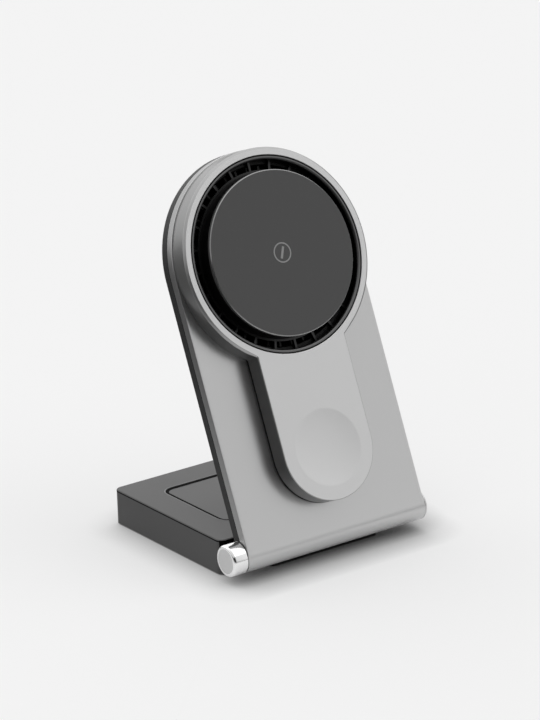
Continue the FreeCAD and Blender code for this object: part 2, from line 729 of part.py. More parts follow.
def make_hinge_bracket():
    """Bracket screwed under the roof, with two ears that come out of the roof's notches."""
    body = new_body("hinge_bracket")
    bar_front = f"{BASE_FRONT} + Dims.base_wall + Dims.bottom_clearance"
    extrude(
        body, "bar", "XY_Plane", f"{ROOF_UNDER} - Dims.bracket_thickness", ROOF_UNDER,
        lambda s: draw_rectangle(s, "bar", f"2 * ({EAR_OUTSIDE} + Dims.base_wall)", bar_front,
                                 f"{bar_front} + Dims.bracket_length"),
    )
    bar_under = f"({ROOF_UNDER} - Dims.bracket_thickness)"
    arm_back = f"({BASE_FRONT} + Dims.base_wall + Dims.bracket_length / 2)"
    arm_top = f"({BASE_TOP} - Dims.bottom_clearance)"
    arm_bottom = f"({AXIS_Z} - Dims.knuckle_radius + Dims.arm_clearance)"
    for name, start in (("left", f"-{EAR_OUTSIDE}"), ("right", EAR_INSIDE)):
        extrude(
            body, f"arm_{name}", "YZ_Plane", start, f"{start} + Dims.ear_width",
            lambda s: draw_loop(s, "arm", [
                (AXIS_Y, arm_bottom), (bar_front, arm_bottom), (bar_front, bar_under),
                (arm_back, bar_under), (arm_back, arm_top), (AXIS_Y, arm_top)]),
        )
        extrude(
            body, f"ear_{name}", "YZ_Plane", start, f"{start} + Dims.ear_width",
            lambda s: draw_circle(s, "ear", "Dims.knuckle_radius", AXIS_Y, AXIS_Z),
        )
    extrude(
        body, "pin_hole", "YZ_Plane", f"-{EAR_OUTSIDE}", EAR_OUTSIDE,
        lambda s: draw_circle(s, "hole", "Dims.pin_diameter / 2", AXIS_Y, AXIS_Z),
        kind="Pocket",
    )
    for number, (x, y) in enumerate(bracket_screw_places()):
        extrude(
            body, f"screw_hole_{number}", "XY_Plane", bar_under, ROOF_UNDER,
            lambda s: draw_circle(s, "hole", "Dims.bracket_screw_diameter / 2", x, y),
            kind="Pocket",
        )
    keep(body, "hinge_bracket")

    screws = [
        screw(f"bracket_screw_{number}", "Dims.bracket_screw_diameter", "Dims.bracket_screw_head",
              f"{bar_under} - Dims.bracket_screw_head_height", bar_under,
              f"{ROOF_UNDER} + Dims.bracket_screw_grip", x, y)
        for number, (x, y) in enumerate(bracket_screw_places())
    ]
    keep(group("bracket_screws", *screws), "bracket_screws")


def bracket_screw_places():
    y = f"({BASE_FRONT} + Dims.base_wall + Dims.bottom_clearance + Dims.bracket_length / 2)"
    return [(f"{side} * Dims.bracket_screw_spacing / 2", y) for side in (-1, 1)]


def make_hinge_pin():
    pin = cylinder_along_x("hinge_pin", "Dims.pin_diameter / 2", EAR_OUTSIDE, AXIS_Y, AXIS_Z)
    return keep(pin, "hinge_pin")


def hinge_screw_places():
    reach = f"({AXIS_REACH} + Dims.leaf_length - Dims.hinge_screw_inset)"
    return [(f"{side} * Dims.hinge_screw_spacing / 2", reach) for side in (-1, 1)]


def make_hinge_block():
    """Knuckle leaf that sits in a window of the back cover and is screwed to the front shell."""
    body = new_body("hinge_block")
    leaf_low = f"({AXIS_REACH} + Dims.leaf_clearance)"
    extrude(
        body, "leaf", "XY_Plane", COVER_BACK, SHELL_BACK,
        lambda s: draw_rectangle(
            s, "leaf", "Dims.leaf_width", leaf_low, f"{AXIS_REACH} + Dims.leaf_length"),
    )
    half = "Dims.leaf_width / 2"
    extrude(
        body, "knuckle", "YZ_Plane", f"-{half}", half,
        lambda s: draw_circle(s, "knuckle", "Dims.knuckle_radius", AXIS_REACH, COVER_BACK),
    )
    extrude(
        body, "pin_hole", "YZ_Plane", f"-{half}", half,
        lambda s: draw_circle(
            s, "hole", "Dims.pin_diameter / 2 + Dims.pin_clearance", AXIS_REACH, COVER_BACK),
        kind="Pocket",
    )
    for number, (x, y) in enumerate(hinge_screw_places()):
        extrude(
            body, f"screw_hole_{number}", "XY_Plane", COVER_BACK, SHELL_BACK,
            lambda s: draw_circle(s, "hole", "Dims.hinge_screw_diameter / 2", x, y),
            kind="Pocket",
        )
        extrude(
            body, f"screw_sink_{number}", "XY_Plane",
            COVER_BACK, f"{COVER_BACK} + Dims.hinge_screw_sink",
            lambda s: draw_circle(s, "sink", "Dims.hinge_screw_head / 2", x, y),
            kind="Pocket",
        )
    place_in_panel(body)
    keep(body, "hinge_block")

    screws = [
        screw(f"hinge_screw_{number}", "Dims.hinge_screw_diameter", "Dims.hinge_screw_head", COVER_BACK,
              f"{COVER_BACK} + Dims.hinge_screw_sink", f"{SHELL_BACK} + Dims.hinge_screw_grip", x, y)
        for number, (x, y) in enumerate(hinge_screw_places())
    ]
    keep(place_in_panel(group("hinge_screws", *screws)), "hinge_screws")


# Panel: the front shell is one plate with an arched top, rolled at its foot into the barrel


def draw_arch(sketch, low, inset="0"):
    """The panel's outline, straight sides under a round top, drawn in by inset."""
    half = f"({PANEL_HALF} - {inset})"
    head = "Dims.head_reach"
    corners = [(f"-{half}", low), (half, low), (half, head), (f"-{half}", head)]
    draw_loop(sketch, "arch", corners, {2: ("0", "Dims.head_reach", "ccw", "y")})


def relieve_hinge(body):
    """Room round the fold axis for the base's ears."""
    half = f"({EAR_OUTSIDE} + Dims.knuckle_relief)"
    extrude(
        body, "hinge_relief", "YZ_Plane", f"-{half}", half,
        lambda s: draw_circle(s, "relief", RELIEF_RADIUS, AXIS_REACH, COVER_BACK),
        kind="Pocket",
    )


def make_front_shell():
    body = new_body("front_shell")
    plate = extrude(
        body, "plate", "XY_Plane", SHELL_BACK, "Dims.barrel_radius",
        lambda s: draw_arch(s, "0"),
    )
    rim = lambda edge: lies_at("Dims.barrel_radius")(edge) and edge.BoundBox.YMax > 1e-3
    soften(body, "front_edge", plate, rim, "Dims.shell_edge")
    extrude(
        body, "barrel", "YZ_Plane", f"-{PANEL_HALF}", PANEL_HALF,
        lambda s: draw_circle(s, "barrel", "Dims.barrel_radius"),
    )
    extrude(
        body, "head_opening", "XY_Plane", SHELL_BACK, "Dims.barrel_radius",
        lambda s: draw_circle(s, "opening", SHELL_OPENING, "0", "Dims.head_reach"),
        kind="Pocket",
    )
    bore_end = f"({PANEL_HALF} - Dims.cap_spigot_length - Dims.cap_clearance)"
    for name, start, end in (("left", f"-{PANEL_HALF}", f"-{bore_end}"), ("right", bore_end, PANEL_HALF)):
        extrude(
            body, f"cap_bore_{name}", "YZ_Plane", start, end,
            lambda s: draw_circle(s, "bore", "Dims.cap_spigot_diameter / 2 + Dims.cap_clearance"),
            kind="Pocket",
        )
    relieve_hinge(body)
    for number, (x, y) in enumerate(hinge_screw_places()):
        extrude(
            body, f"hinge_screw_hole_{number}", "XY_Plane",
            SHELL_BACK, f"{SHELL_BACK} + Dims.hinge_screw_grip",
            lambda s: draw_circle(s, "hole", "Dims.hinge_screw_diameter / 2", x, y),
            kind="Pocket",
        )
    for number, (x, y) in enumerate(module_screw_places()):
        extrude(
            body, f"module_screw_hole_{number}", "XY_Plane", SHELL_BACK, "Dims.barrel_radius",
            lambda s: draw_circle(s, "hole", "Dims.module_screw_diameter / 2", x, y),
            kind="Pocket",
        )
    place_in_panel(body)
    return keep(body, "front_shell")


def make_back_cover():
    """Dark tray behind the front shell, set back by a fine reveal, with the blower's inlet slots."""
    body = new_body("back_cover")
    tray = extrude(
        body, "tray", "XY_Plane", COVER_BACK, COVER_FRONT,
        lambda s: draw_arch(s, "0"),
    )
    rim = lambda edge: lies_at(COVER_BACK)(edge) and edge.BoundBox.YMax > 1e-3
    soften(body, "back_edge", tray, rim, "Dims.cover_edge", kind="Chamfer")
    lip_low = f"{AXIS_REACH} + Dims.leaf_length"
    extrude(
        body, "lip", "XY_Plane", COVER_FRONT, SHELL_BACK,
        lambda s: draw_arch(s, lip_low, "Dims.seam_reveal"),
    )
    extrude(
        body, "hollow", "XY_Plane", COVER_INSIDE, SHELL_BACK,
        lambda s: draw_arch(s, f"{lip_low} + Dims.cover_wall", "Dims.cover_wall"),
        kind="Pocket",
    )
    extrude(
        body, "barrel_seat", "YZ_Plane", f"-{PANEL_HALF}", PANEL_HALF,
        lambda s: draw_circle(s, "seat", "Dims.barrel_radius + Dims.barrel_gap"),
        kind="Pocket",
    )
    extrude(
        body, "leaf_window", "XY_Plane", COVER_BACK, SHELL_BACK,
        lambda s: draw_rectangle(
            s, "window", "Dims.leaf_width + 2 * Dims.leaf_clearance",
            "0", f"{lip_low} + Dims.leaf_clearance"),
        kind="Pocket",
    )
    relieve_hinge(body)
    for number in range(int(value("Dims.slot_count"))):
        angle = f"({number} * 360 deg / Dims.slot_count)"
        cut_inlet_slot(body, number, angle)
    place_in_panel(body)
    return keep(body, "back_cover")


def cut_inlet_slot(body, number, angle):
    """One radial slot of the blower's inlet, round the head's centre."""
    inner, outer = "Dims.slot_inner_diameter / 2", "Dims.slot_outer_diameter / 2"
    half = "Dims.slot_width / 2"

    def corner(radius, side):
        x = f"({radius}) * cos({angle}) - ({side}) * sin({angle})"
        y = f"Dims.head_reach + ({radius}) * sin({angle}) + ({side}) * cos({angle})"
        return x, y

    low, high = f"-{half}", half
    corners = [corner(inner, low), corner(outer, low), corner(outer, high), corner(inner, high)]
    extrude(
        body, f"slot_{number}", "XY_Plane", COVER_BACK, COVER_INSIDE,
        lambda s: draw_loop(s, "slot", corners),
        kind="Pocket",
    )


def make_end_caps():
    """Turned caps, a long one on the left and a slim one on the right. Each has a groove at its foot
    and a spigot in the barrel's bore."""
    radius, spigot = "Dims.barrel_radius", "Dims.cap_spigot_diameter / 2"
    neck = f"{radius} - Dims.cap_groove_depth"
    face_radius = f"{radius} - Dims.cap_edge"
    for name, side, length in (("left", -1, "Dims.left_cap_length"), ("right", 1, "Dims.right_cap_length")):
        body = new_body(f"end_cap_{name}")
        spigot_end = f"{side} * ({PANEL_HALF} - Dims.cap_spigot_length)"
        seat = f"{side} * {PANEL_HALF}"
        head_start = f"{side} * ({PANEL_HALF} + Dims.cap_groove)"
        edge_start = f"{side} * ({PANEL_HALF} + {length} - Dims.cap_edge)"
        tip = f"{side} * ({PANEL_HALF} + {length})"
        corners = [
            (spigot_end, "0"), (spigot_end, spigot), (seat, spigot), (seat, neck), (head_start, neck),
            (head_start, radius), (edge_start, radius), (tip, face_radius), (tip, "0")]
        arc = {6: (edge_start, face_radius, "cw" if side > 0 else "ccw", "x")}
        revolve(
            body, "turned", "XY_Plane", lambda s: draw_loop(s, "profile", corners, arc), axis="H_Axis")
        place_in_panel(body)
        keep(body, f"end_cap_{name}")


# Raised keyhole module: round head, straight tongue with a round end and a shallow watch dish


def keyhole_neck(inset):
    """The tongue's half width, and the height at which its sides meet the round head."""
    half = f"(Dims.tongue_width / 2 - {inset})"
    return half, f"(Dims.head_reach - sqrt(({HEAD_RADIUS} - {inset}) ^ 2 - {half} ^ 2))"


def draw_keyhole(sketch, inset="0"):
    half, neck = keyhole_neck(inset)
    low = "Dims.tongue_reach"
    corners = [(f"-{half}", low), (half, low), (half, neck), (f"-{half}", neck)]
    arcs = {0: ("0", low, "ccw", "y"), 2: ("0", "Dims.head_reach", "ccw", "y")}
    draw_loop(sketch, "keyhole", corners, arcs)


def is_neck(inset="0"):
    """Picks the two upright edges where the tongue meets the head."""
    half, neck = (value(size) for size in keyhole_neck(inset))

    def choose(edge):
        limits = edge.BoundBox
        upright = limits.XLength < 1e-4 and limits.YLength < 1e-4
        return upright and abs(abs(limits.XMin) - half) < 1e-3 and abs(limits.YMin - neck) < 1e-3

    return choose


def module_screw_places():
    """One screw each side of the charge board."""
    across = "(Dims.charge_board_width / 2 + Dims.charge_board_side + Dims.module_boss_diameter / 2)"
    return [(f"{side} * {across}", f"{TONGUE_END} - Dims.module_screw_inset") for side in (-1, 1)]


def make_module_gasket():
    """Thin black seal between the module and the panel, a little inside the module's wall."""
    body = new_body("module_gasket")
    sheet_pad = extrude(
        body, "sheet", "XY_Plane", "Dims.barrel_radius", MODULE_BACK,
        lambda s: draw_keyhole(s, "Dims.gasket_inset"),
    )
    soften(body, "neck", sheet_pad, is_neck("Dims.gasket_inset"), "Dims.neck_fillet + Dims.gasket_inset")
    extrude(
        body, "head_hole", "XY_Plane", "Dims.barrel_radius", MODULE_BACK,
        lambda s: draw_circle(s, "hole", "Dims.opening_diameter / 2", "0", "Dims.head_reach"),
        kind="Pocket",
    )
    extrude(
        body, "tongue_hole", "XY_Plane", "Dims.barrel_radius", MODULE_BACK,
        draw_tongue_inside,
        kind="Pocket",
    )
    place_in_panel(body)
    return keep(body, "module_gasket")


def draw_tongue_inside(sketch):
    half = "(Dims.tongue_width / 2 - Dims.module_wall)"
    low = "Dims.tongue_reach"
    corners = [(f"-{half}", low), (half, low), (half, TONGUE_END), (f"-{half}", TONGUE_END)]
    draw_loop(sketch, "inside", corners, {0: ("0", low, "ccw", "y")})


def make_module_shell():
    body = new_body("module_shell")
    block = extrude(body, "block", "XY_Plane", MODULE_BACK, MODULE_FACE, draw_keyhole)
    necked = soften(body, "neck", block, is_neck(), "Dims.neck_fillet")
    soften(body, "face_edge", necked, lies_at(MODULE_FACE), "Dims.module_edge", kind="Chamfer")
    opening = extrude(
        body, "opening", "XY_Plane", MODULE_BACK, MODULE_FACE,
        lambda s: draw_circle(s, "opening", "Dims.opening_diameter / 2", "0", "Dims.head_reach"),
        kind="Pocket",
    )
    at_face, width = lies_at(MODULE_FACE), value("Dims.opening_diameter")
    rim = lambda edge: at_face(edge) and abs(edge.BoundBox.XLength - width) < 1e-3
    soften(body, "opening_edge", opening, rim, "Dims.opening_edge", kind="Chamfer")
    extrude(
        body, "tongue_hollow", "XY_Plane", MODULE_BACK, TONGUE_CEILING, draw_tongue_inside, kind="Pocket")
    for number, (x, y) in enumerate(module_screw_places()):
        extrude(
            body, f"boss_{number}", "XY_Plane", MODULE_BACK, TONGUE_CEILING,
            lambda s: draw_circle(s, "boss", "Dims.module_boss_diameter / 2", x, y),
        )
        extrude(
            body, f"boss_hole_{number}", "XY_Plane",
            MODULE_BACK, f"{MODULE_BACK} + Dims.module_screw_grip",
            lambda s: draw_circle(s, "hole", "Dims.module_screw_diameter / 2", x, y),
            kind="Pocket",
        )
    dish = body.newObject("PartDesign::SubtractiveCone", "module_shell_dish")
    place(dish, y="Dims.tongue_reach", z=f"{MODULE_FACE} - Dims.dish_depth")
    bind(
        dish, Radius1="Dims.dish_diameter / 2 - Dims.dish_slope", Radius2="Dims.dish_diameter / 2",
        Height="Dims.dish_depth")
    doc.recompute()
    place_in_panel(body)
    keep(body, "module_shell")

    head_bottom = f"{SHELL_BACK} - Dims.module_screw_head_height"
    screws = [
        screw(f"module_screw_{number}", "Dims.module_screw_diameter", "Dims.module_screw_head",
              head_bottom, SHELL_BACK, f"{MODULE_BACK} + Dims.module_screw_grip", x, y)
        for number, (x, y) in enumerate(module_screw_places())
    ]
    keep(place_in_panel(group("module_screws", *screws)), "module_screws")


def make_watch_charger():
    """Coil round a small magnet behind the watch dish, a ferrite disc behind both, and the board."""
    coil_back = f"({TONGUE_CEILING} - Dims.watch_coil_height)"
    outer, inner = "Dims.watch_coil_outer / 2", "Dims.watch_coil_inner / 2"
    coil = tube("watch_coil", outer, inner, coil_back, TONGUE_CEILING)
    keep(place_in_panel(coil, reach="Dims.tongue_reach"), "watch_coil")
    for name, radius, back, front in (
        ("watch_magnet", "Dims.watch_magnet_diameter / 2", coil_back, TONGUE_CEILING),
        ("watch_ferrite", outer, f"{coil_back} - Dims.watch_ferrite_height", coil_back),
    ):
        disc = cylinder(name, radius, "0", f"({front}) - ({back})")
        keep(place_in_panel(disc, reach="Dims.tongue_reach", rise=back), name)
    board = doc.addObject("Part::Box", "charge_board")
    bind(board, Length="Dims.charge_board_width", Width="Dims.charge_board_length",
         Height="Dims.charge_board_thickness")
    board_reach = f"{TONGUE_END} - Dims.charge_board_gap - Dims.charge_board_length"
    place_in_panel(board, reach=board_reach, rise="Dims.barrel_radius")
    bind(board, Placement__Base__x="-Dims.charge_board_width / 2")
    keep(board, "charge_board")


# Phone pad stack, coaxial with the head


def keep_in_head(piece, label):
    return keep(place_in_panel(piece, reach="Dims.head_reach"), label)


def make_phone_pad():
    face = new_body("pad_face")
    disc = extrude(
        face, "disc", "XY_Plane", CARRIER_TOP, PAD_TOP,
        lambda s: draw_circle(s, "disc", PAD_RADIUS),
    )
    soften(face, "edge", disc, lies_at(PAD_TOP), "Dims.pad_edge")
    keep_in_head(face, "pad_face")

    carrier = cut(
        "pad_carrier",
        cylinder("pad_carrier_outer", PAD_RADIUS, GUARD_BOTTOM, CARRIER_TOP),
        cylinder("pad_carrier_cavity", CARRIER_INSIDE, GUARD_BOTTOM, CARRIER_CEILING),
    )
    keep_in_head(carrier, "pad_carrier")
    magnet_back = f"({PHONE_FERRITE_BACK} + Dims.magnet_gap)"
    magnets = tube("magnet_ring", MAGNET_OUTSIDE, MAGNET_INSIDE, magnet_back, CARRIER_CEILING)
    keep_in_head(magnets, "magnet_ring")
    coil_inside = "Dims.phone_coil_inner / 2"
    coil = tube("phone_coil", PHONE_COIL_RADIUS, coil_inside, PHONE_COIL_BACK, CARRIER_CEILING)
    keep_in_head(coil, "phone_coil")
    for name, radius, back, front in (
        ("phone_ferrite", PHONE_COIL_RADIUS, PHONE_FERRITE_BACK, PHONE_COIL_BACK),
        ("cooling_plate", f"{CARRIER_INSIDE} - Dims.carrier_clearance", GUARD_BOTTOM, PHONE_FERRITE_BACK),
    ):
        disc = cylinder(name, radius, "0", f"({front}) - ({back})")
        keep(place_in_panel(disc, reach="Dims.head_reach", rise=back), name)


def make_vent_guard():
    """Two rings joined by radial ribs; the inner one holds the pad's carrier."""
    body = new_body("vent_guard")
    inner = f"({PAD_RADIUS} + Dims.carrier_clearance)"
    outer_inside = f"({RING_RADIUS} - Dims.bezel_width)"

    def draw_rings(sketch):
        draw_circle(sketch, "outer", RING_RADIUS)
        draw_circle(sketch, "outer_inside", outer_inside)

    extrude(body, "rings", "XY_Plane", GUARD_BOTTOM, GUARD_TOP, draw_rings)
    rib_end = f"({RING_RADIUS} - Dims.bezel_width / 2)"
    half = "Dims.rib_width / 2"
    rib = extrude(
        body, "rib", "XY_Plane", GUARD_BOTTOM, GUARD_TOP,
        lambda s: draw_loop(s, "rib", [
            (f"{inner} + Dims.guard_ring_width / 2", f"-{half}"), (rib_end, f"-{half}"), (rib_end, half),
            (f"{inner} + Dims.guard_ring_width / 2", half)]),
    )
    repeat_round(body, "ribs", [rib], "Dims.rib_count")

    def draw_collar(sketch):
        draw_circle(sketch, "collar", f"{inner} + Dims.guard_ring_width")
        draw_circle(sketch, "collar_inside", inner)

    extrude(body, "collar", "XY_Plane", GUARD_BOTTOM, GUARD_TOP, draw_collar)
    return keep_in_head(body, "vent_guard")


def make_bezel_ring():
    body = new_body("bezel_ring")
    inner = f"({RING_RADIUS} - Dims.bezel_width)"
    corners = [
        (inner, GUARD_TOP), (RING_RADIUS, GUARD_TOP), (RING_RADIUS, BEZEL_TOP),
        (f"{inner} + Dims.bezel_edge", BEZEL_TOP), (inner, f"{BEZEL_TOP} - Dims.bezel_edge")]
    revolve(body, "turned", "XZ_Plane", lambda s: draw_loop(s, "profile", corners))
    return keep_in_head(body, "bezel_ring")


# Blower under the pad


def make_fan_frame():
    """Cup that hangs by its flange on the front shell's opening, with a bearing boss on its floor."""
    body = new_body("fan_frame")
    inside = f"({FAN_RADIUS} - Dims.fan_wall)"
    flange = "Dims.barrel_radius"
    corners = [
        ("Dims.bearing_diameter / 2", FAN_BOTTOM), (FAN_RADIUS, FAN_BOTTOM), (FAN_RADIUS, flange),
        (RING_RADIUS, flange), (RING_RADIUS, GUARD_BOTTOM), (inside, GUARD_BOTTOM),
        (inside, FAN_FLOOR_TOP), (FAN_BOSS, FAN_FLOOR_TOP),
        (FAN_BOSS, f"{FAN_FLOOR_TOP} + Dims.fan_boss_height"),
        ("Dims.bearing_diameter / 2", f"{FAN_FLOOR_TOP} + Dims.fan_boss_height")]
    revolve(body, "turned", "XZ_Plane", lambda s: draw_loop(s, "profile", corners))
    inlet = extrude(
        body, "inlet", "XY_Plane", FAN_BOTTOM, FAN_FLOOR_TOP,
        lambda s: draw_circle(s, "inlet", "Dims.fan_inlet_diameter / 2", "Dims.fan_inlet_circle / 2"),
        kind="Pocket",
    )
    repeat_round(body, "inlets", [inlet], "Dims.fan_inlet_count")
    keep_in_head(body, "fan_frame")
    bore = "Dims.shaft_diameter / 2 + Dims.shaft_clearance"
    bearing_top = f"{FAN_BOTTOM} + Dims.bearing_height"
    bearing = tube("fan_bearing", "Dims.bearing_diameter / 2", bore, FAN_BOTTOM, bearing_top)
    keep_in_head(bearing, "fan_bearing")


def make_fan_rotor():
    """Hub cup on the shaft, a disc, and straight radial blades that reach out past the disc."""
    body = new_body("fan_rotor")
    hub_inside = f"({FAN_BOSS} + Dims.rotor_hub_gap)"
    hub = f"({hub_inside} + Dims.rotor_hub_wall)"
    bottom = f"({FAN_FLOOR_TOP} + Dims.rotor_clearance)"
    roof = f"({ROTOR_TOP} - Dims.rotor_roof)"
    disc_bottom = f"({ROTOR_TOP} - Dims.rotor_disc_height)"
    disc = "Dims.rotor_disc_diameter / 2"
    corners = [
        ("Dims.shaft_diameter / 2", roof), (hub_inside, roof), (hub_inside, bottom), (hub, bottom),
        (hub, disc_bottom), (disc, disc_bottom), (disc, ROTOR_TOP),
        ("Dims.shaft_diameter / 2", ROTOR_TOP)]
    revolve(body, "turned", "XZ_Plane", lambda s: draw_loop(s, "profile", corners))
    half = "Dims.blade_thickness / 2"
    root = f"({disc} - Dims.blade_overlap)"
    blade = extrude(
        body, "blade", "XY_Plane", bottom, ROTOR_TOP,
        lambda s: draw_loop(s, "blade", [
            (root, f"-{half}"), (ROTOR_RADIUS, f"-{half}"), (ROTOR_RADIUS, half), (root, half)]),
    )
    repeat_round(body, "blades", [blade], "Dims.blade_count")
    keep_in_head(body, "fan_rotor")

    shaft_bottom = f"({FAN_BOTTOM} + Dims.shaft_lift)"
    shaft = cylinder("fan_shaft", "Dims.shaft_diameter / 2", "0", f"{ROTOR_TOP} - {shaft_bottom}")
    keep(place_in_panel(shaft, reach="Dims.head_reach", rise=shaft_bottom), "fan_shaft")


make_base_housing()
make_earbud_pad()
make_earbud_charger()
make_base_bottom_cover()
make_base_electronics()
make_base_fixings()
make_hinge_bracket()
make_hinge_pin()
make_hinge_block()
make_front_shell()
make_back_cover()
make_end_caps()
make_module_gasket()
make_module_shell()
make_watch_charger()
make_phone_pad()
make_vent_guard()
make_bezel_ring()
make_fan_frame()
make_fan_rotor()

doc.recompute()
failed = [item.Name for item in doc.Objects if {"Invalid", "Error"} & set(item.State)]
if failed:
    raise RuntimeError(f"failed objects: {failed}")
os.makedirs("parts", exist_ok=True)
for piece in pieces:
    if piece.Shape.isNull() or not piece.Shape.isValid():
        raise RuntimeError(f"bad shape: {piece.Label}")
for piece in pieces:
    piece.Shape.exportStep(f"parts/{piece.Label}.step")
    limits = piece.Shape.BoundBox
    print(f"{piece.Label}: {len(piece.Shape.Solids)} solids, {piece.Shape.Volume:.1f} mm3, "
          f"z {limits.ZMin:.2f} to {limits.ZMax:.2f}")
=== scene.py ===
"""Looks of a foldable wireless charging station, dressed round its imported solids.

The scene is in metres. Pieces are worked out in millimetres and scaled as they are made.
"""

import bmesh
import bpy
import numpy as np
from mathutils import Matrix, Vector
from mathutils.geometry import delaunay_2d_cdt


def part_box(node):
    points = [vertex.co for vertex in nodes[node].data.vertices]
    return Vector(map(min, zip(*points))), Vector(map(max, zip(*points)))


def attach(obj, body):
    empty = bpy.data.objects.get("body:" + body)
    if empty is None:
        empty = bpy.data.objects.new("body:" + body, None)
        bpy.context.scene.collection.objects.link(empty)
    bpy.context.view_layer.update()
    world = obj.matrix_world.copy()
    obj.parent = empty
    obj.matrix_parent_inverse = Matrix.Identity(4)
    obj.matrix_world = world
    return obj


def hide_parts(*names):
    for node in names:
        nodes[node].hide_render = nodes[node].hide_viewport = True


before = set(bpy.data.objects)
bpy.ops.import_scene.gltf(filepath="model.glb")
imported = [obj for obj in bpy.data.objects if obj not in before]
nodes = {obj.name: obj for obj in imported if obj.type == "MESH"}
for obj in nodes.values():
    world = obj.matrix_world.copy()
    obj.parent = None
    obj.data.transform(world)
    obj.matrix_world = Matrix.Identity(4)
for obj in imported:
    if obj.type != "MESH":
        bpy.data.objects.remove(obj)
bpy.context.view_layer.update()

# Camera: a long lens well back from the stand, above it and off to its left, with a slight roll.
# The view is given by two angles and a roll about a point half way up the panel, then stepped
# sideways and down so that the stand sits in the picture as it was photographed.
FRAME_HEIGHT_PX = 720
FOCAL_PX = 4042.643
AZIMUTH, ELEVATION, ROLL = np.radians([35.249, 19.548, -1.951])
CAMERA_DISTANCE = 1.364768
CAMERA_FAR = 20.0
AIM_POINT = np.array([0.0, -0.0294, 0.0685])
STEP_RIGHT, STEP_UP = -0.012217, -0.001012

ahead = np.array([
    np.sin(AZIMUTH) * np.cos(ELEVATION),
    np.cos(AZIMUTH) * np.cos(ELEVATION),
    -np.sin(ELEVATION)])
level = np.array([np.cos(AZIMUTH), -np.sin(AZIMUTH), 0.0])
upright = np.cross(level, ahead)
across = level * np.cos(ROLL) + upright * np.sin(ROLL)
upwards = upright * np.cos(ROLL) - level * np.sin(ROLL)
camera_place = AIM_POINT - ahead * CAMERA_DISTANCE + across * STEP_RIGHT + upwards * STEP_UP

camera = bpy.data.objects.new("camera", bpy.data.cameras.new("camera"))
bpy.context.scene.collection.objects.link(camera)
pose = np.eye(4)
pose[:3, :] = np.column_stack([across, upwards, -ahead, camera_place])
camera.matrix_world = Matrix(pose.tolist())
camera.data.lens = FOCAL_PX * camera.data.sensor_width / FRAME_HEIGHT_PX
camera.data.clip_end = CAMERA_FAR
bpy.context.scene.camera = camera
bpy.context.scene.view_settings.view_transform = "Standard"

# Studio: a wide pale table top that runs out of the picture on all sides. Seen directly it is nearly
# white; in what it throws back on the stand it is darker, and in gloss it carries a painted reflection,
# bright near the stand and darker away from it. Close under the stand a soft contact shade is painted on
# it by an occlusion node, away from the light.
FLOOR_HALF = 6.0
FLOOR_DROP = 0.00002
TABLE_SEEN, TABLE_GLOW = 0.50, 0.41
CONTACT_REACH, CONTACT_POWER, CONTACT_FROM = 0.015, 0.9, (-0.20, 0.32, 1.0)
TABLE_BOUNCE = 0.15
GLOSS_MIDDLE = (0.0, -0.05, 0.0)
GLOSS_NEAR, GLOSS_FAR = 0.95, 0.15
GLOSS_NEAR_AT, GLOSS_FAR_AT = 0.05, 0.25


def grey(srgb):
    """A neutral colour from its level on the 0 to 255 scale of a picture: the level as a share, put
    through the usual sRGB curve into linear light."""
    share = srgb / 255
    linear = np.where(share > 0.04045, ((share + 0.055) / 1.055) ** 2.4, share / 12.92)
    return (float(linear),) * 3 + (1.0,)


def wire(tree, output, socket):
    """Joins an output of one node to an input of another."""
    tree.links.new(output, socket)


def scale(tree, output, factor, offset=0.0):
    """A node that multiplies a value by a factor and adds an offset."""
    node = tree.nodes.new("ShaderNodeMath")
    node.operation = "MULTIPLY_ADD"
    wire(tree, output, node.inputs[0])
    node.inputs[1].default_value = factor
    node.inputs[2].default_value = offset
    return node.outputs[0]


def combine(tree, operation, *values):
    """A node that works on values, each of them an output of another node or a number."""
    node = tree.nodes.new("ShaderNodeMath")
    node.operation = operation
    for socket, value in zip(node.inputs, values):
        if isinstance(value, (int, float)):
            socket.default_value = value
        else:
            wire(tree, value, socket)
    return node.outputs[0]


def ramp(tree, output, start, finish, low, high, kind="LINEAR"):
    """A node that runs a value from one range into another, and holds it past the ends."""
    node = tree.nodes.new("ShaderNodeMapRange")
    node.interpolation_type = kind
    wire(tree, output, node.inputs["Value"])
    for socket, value in (("From Min", start), ("From Max", finish), ("To Min", low), ("To Max", high)):
        node.inputs[socket].default_value = value
    return node.outputs["Result"]


table = bpy.data.materials.new("pale_table")
table.use_nodes = True
tree = table.node_tree
tree.nodes.clear()
path = tree.nodes.new("ShaderNodeLightPath")
seen = path.outputs["Is Camera Ray"]
# Painted shade: an occlusion node, tilted away from the light, darkens the table close under the stand.
nearby = tree.nodes.new("ShaderNodeAmbientOcclusion")
nearby.inputs["Distance"].default_value = CONTACT_REACH
leaning = tree.nodes.new("ShaderNodeCombineXYZ")
for socket, share in zip(leaning.inputs, CONTACT_FROM):
    socket.default_value = share / np.linalg.norm(CONTACT_FROM)
wire(tree, leaning.outputs[0], nearby.inputs["Normal"])
painted_contact_shade = combine(tree, "POWER", nearby.outputs["AO"], CONTACT_POWER)
lit = combine(tree, "MULTIPLY", seen, painted_contact_shade)
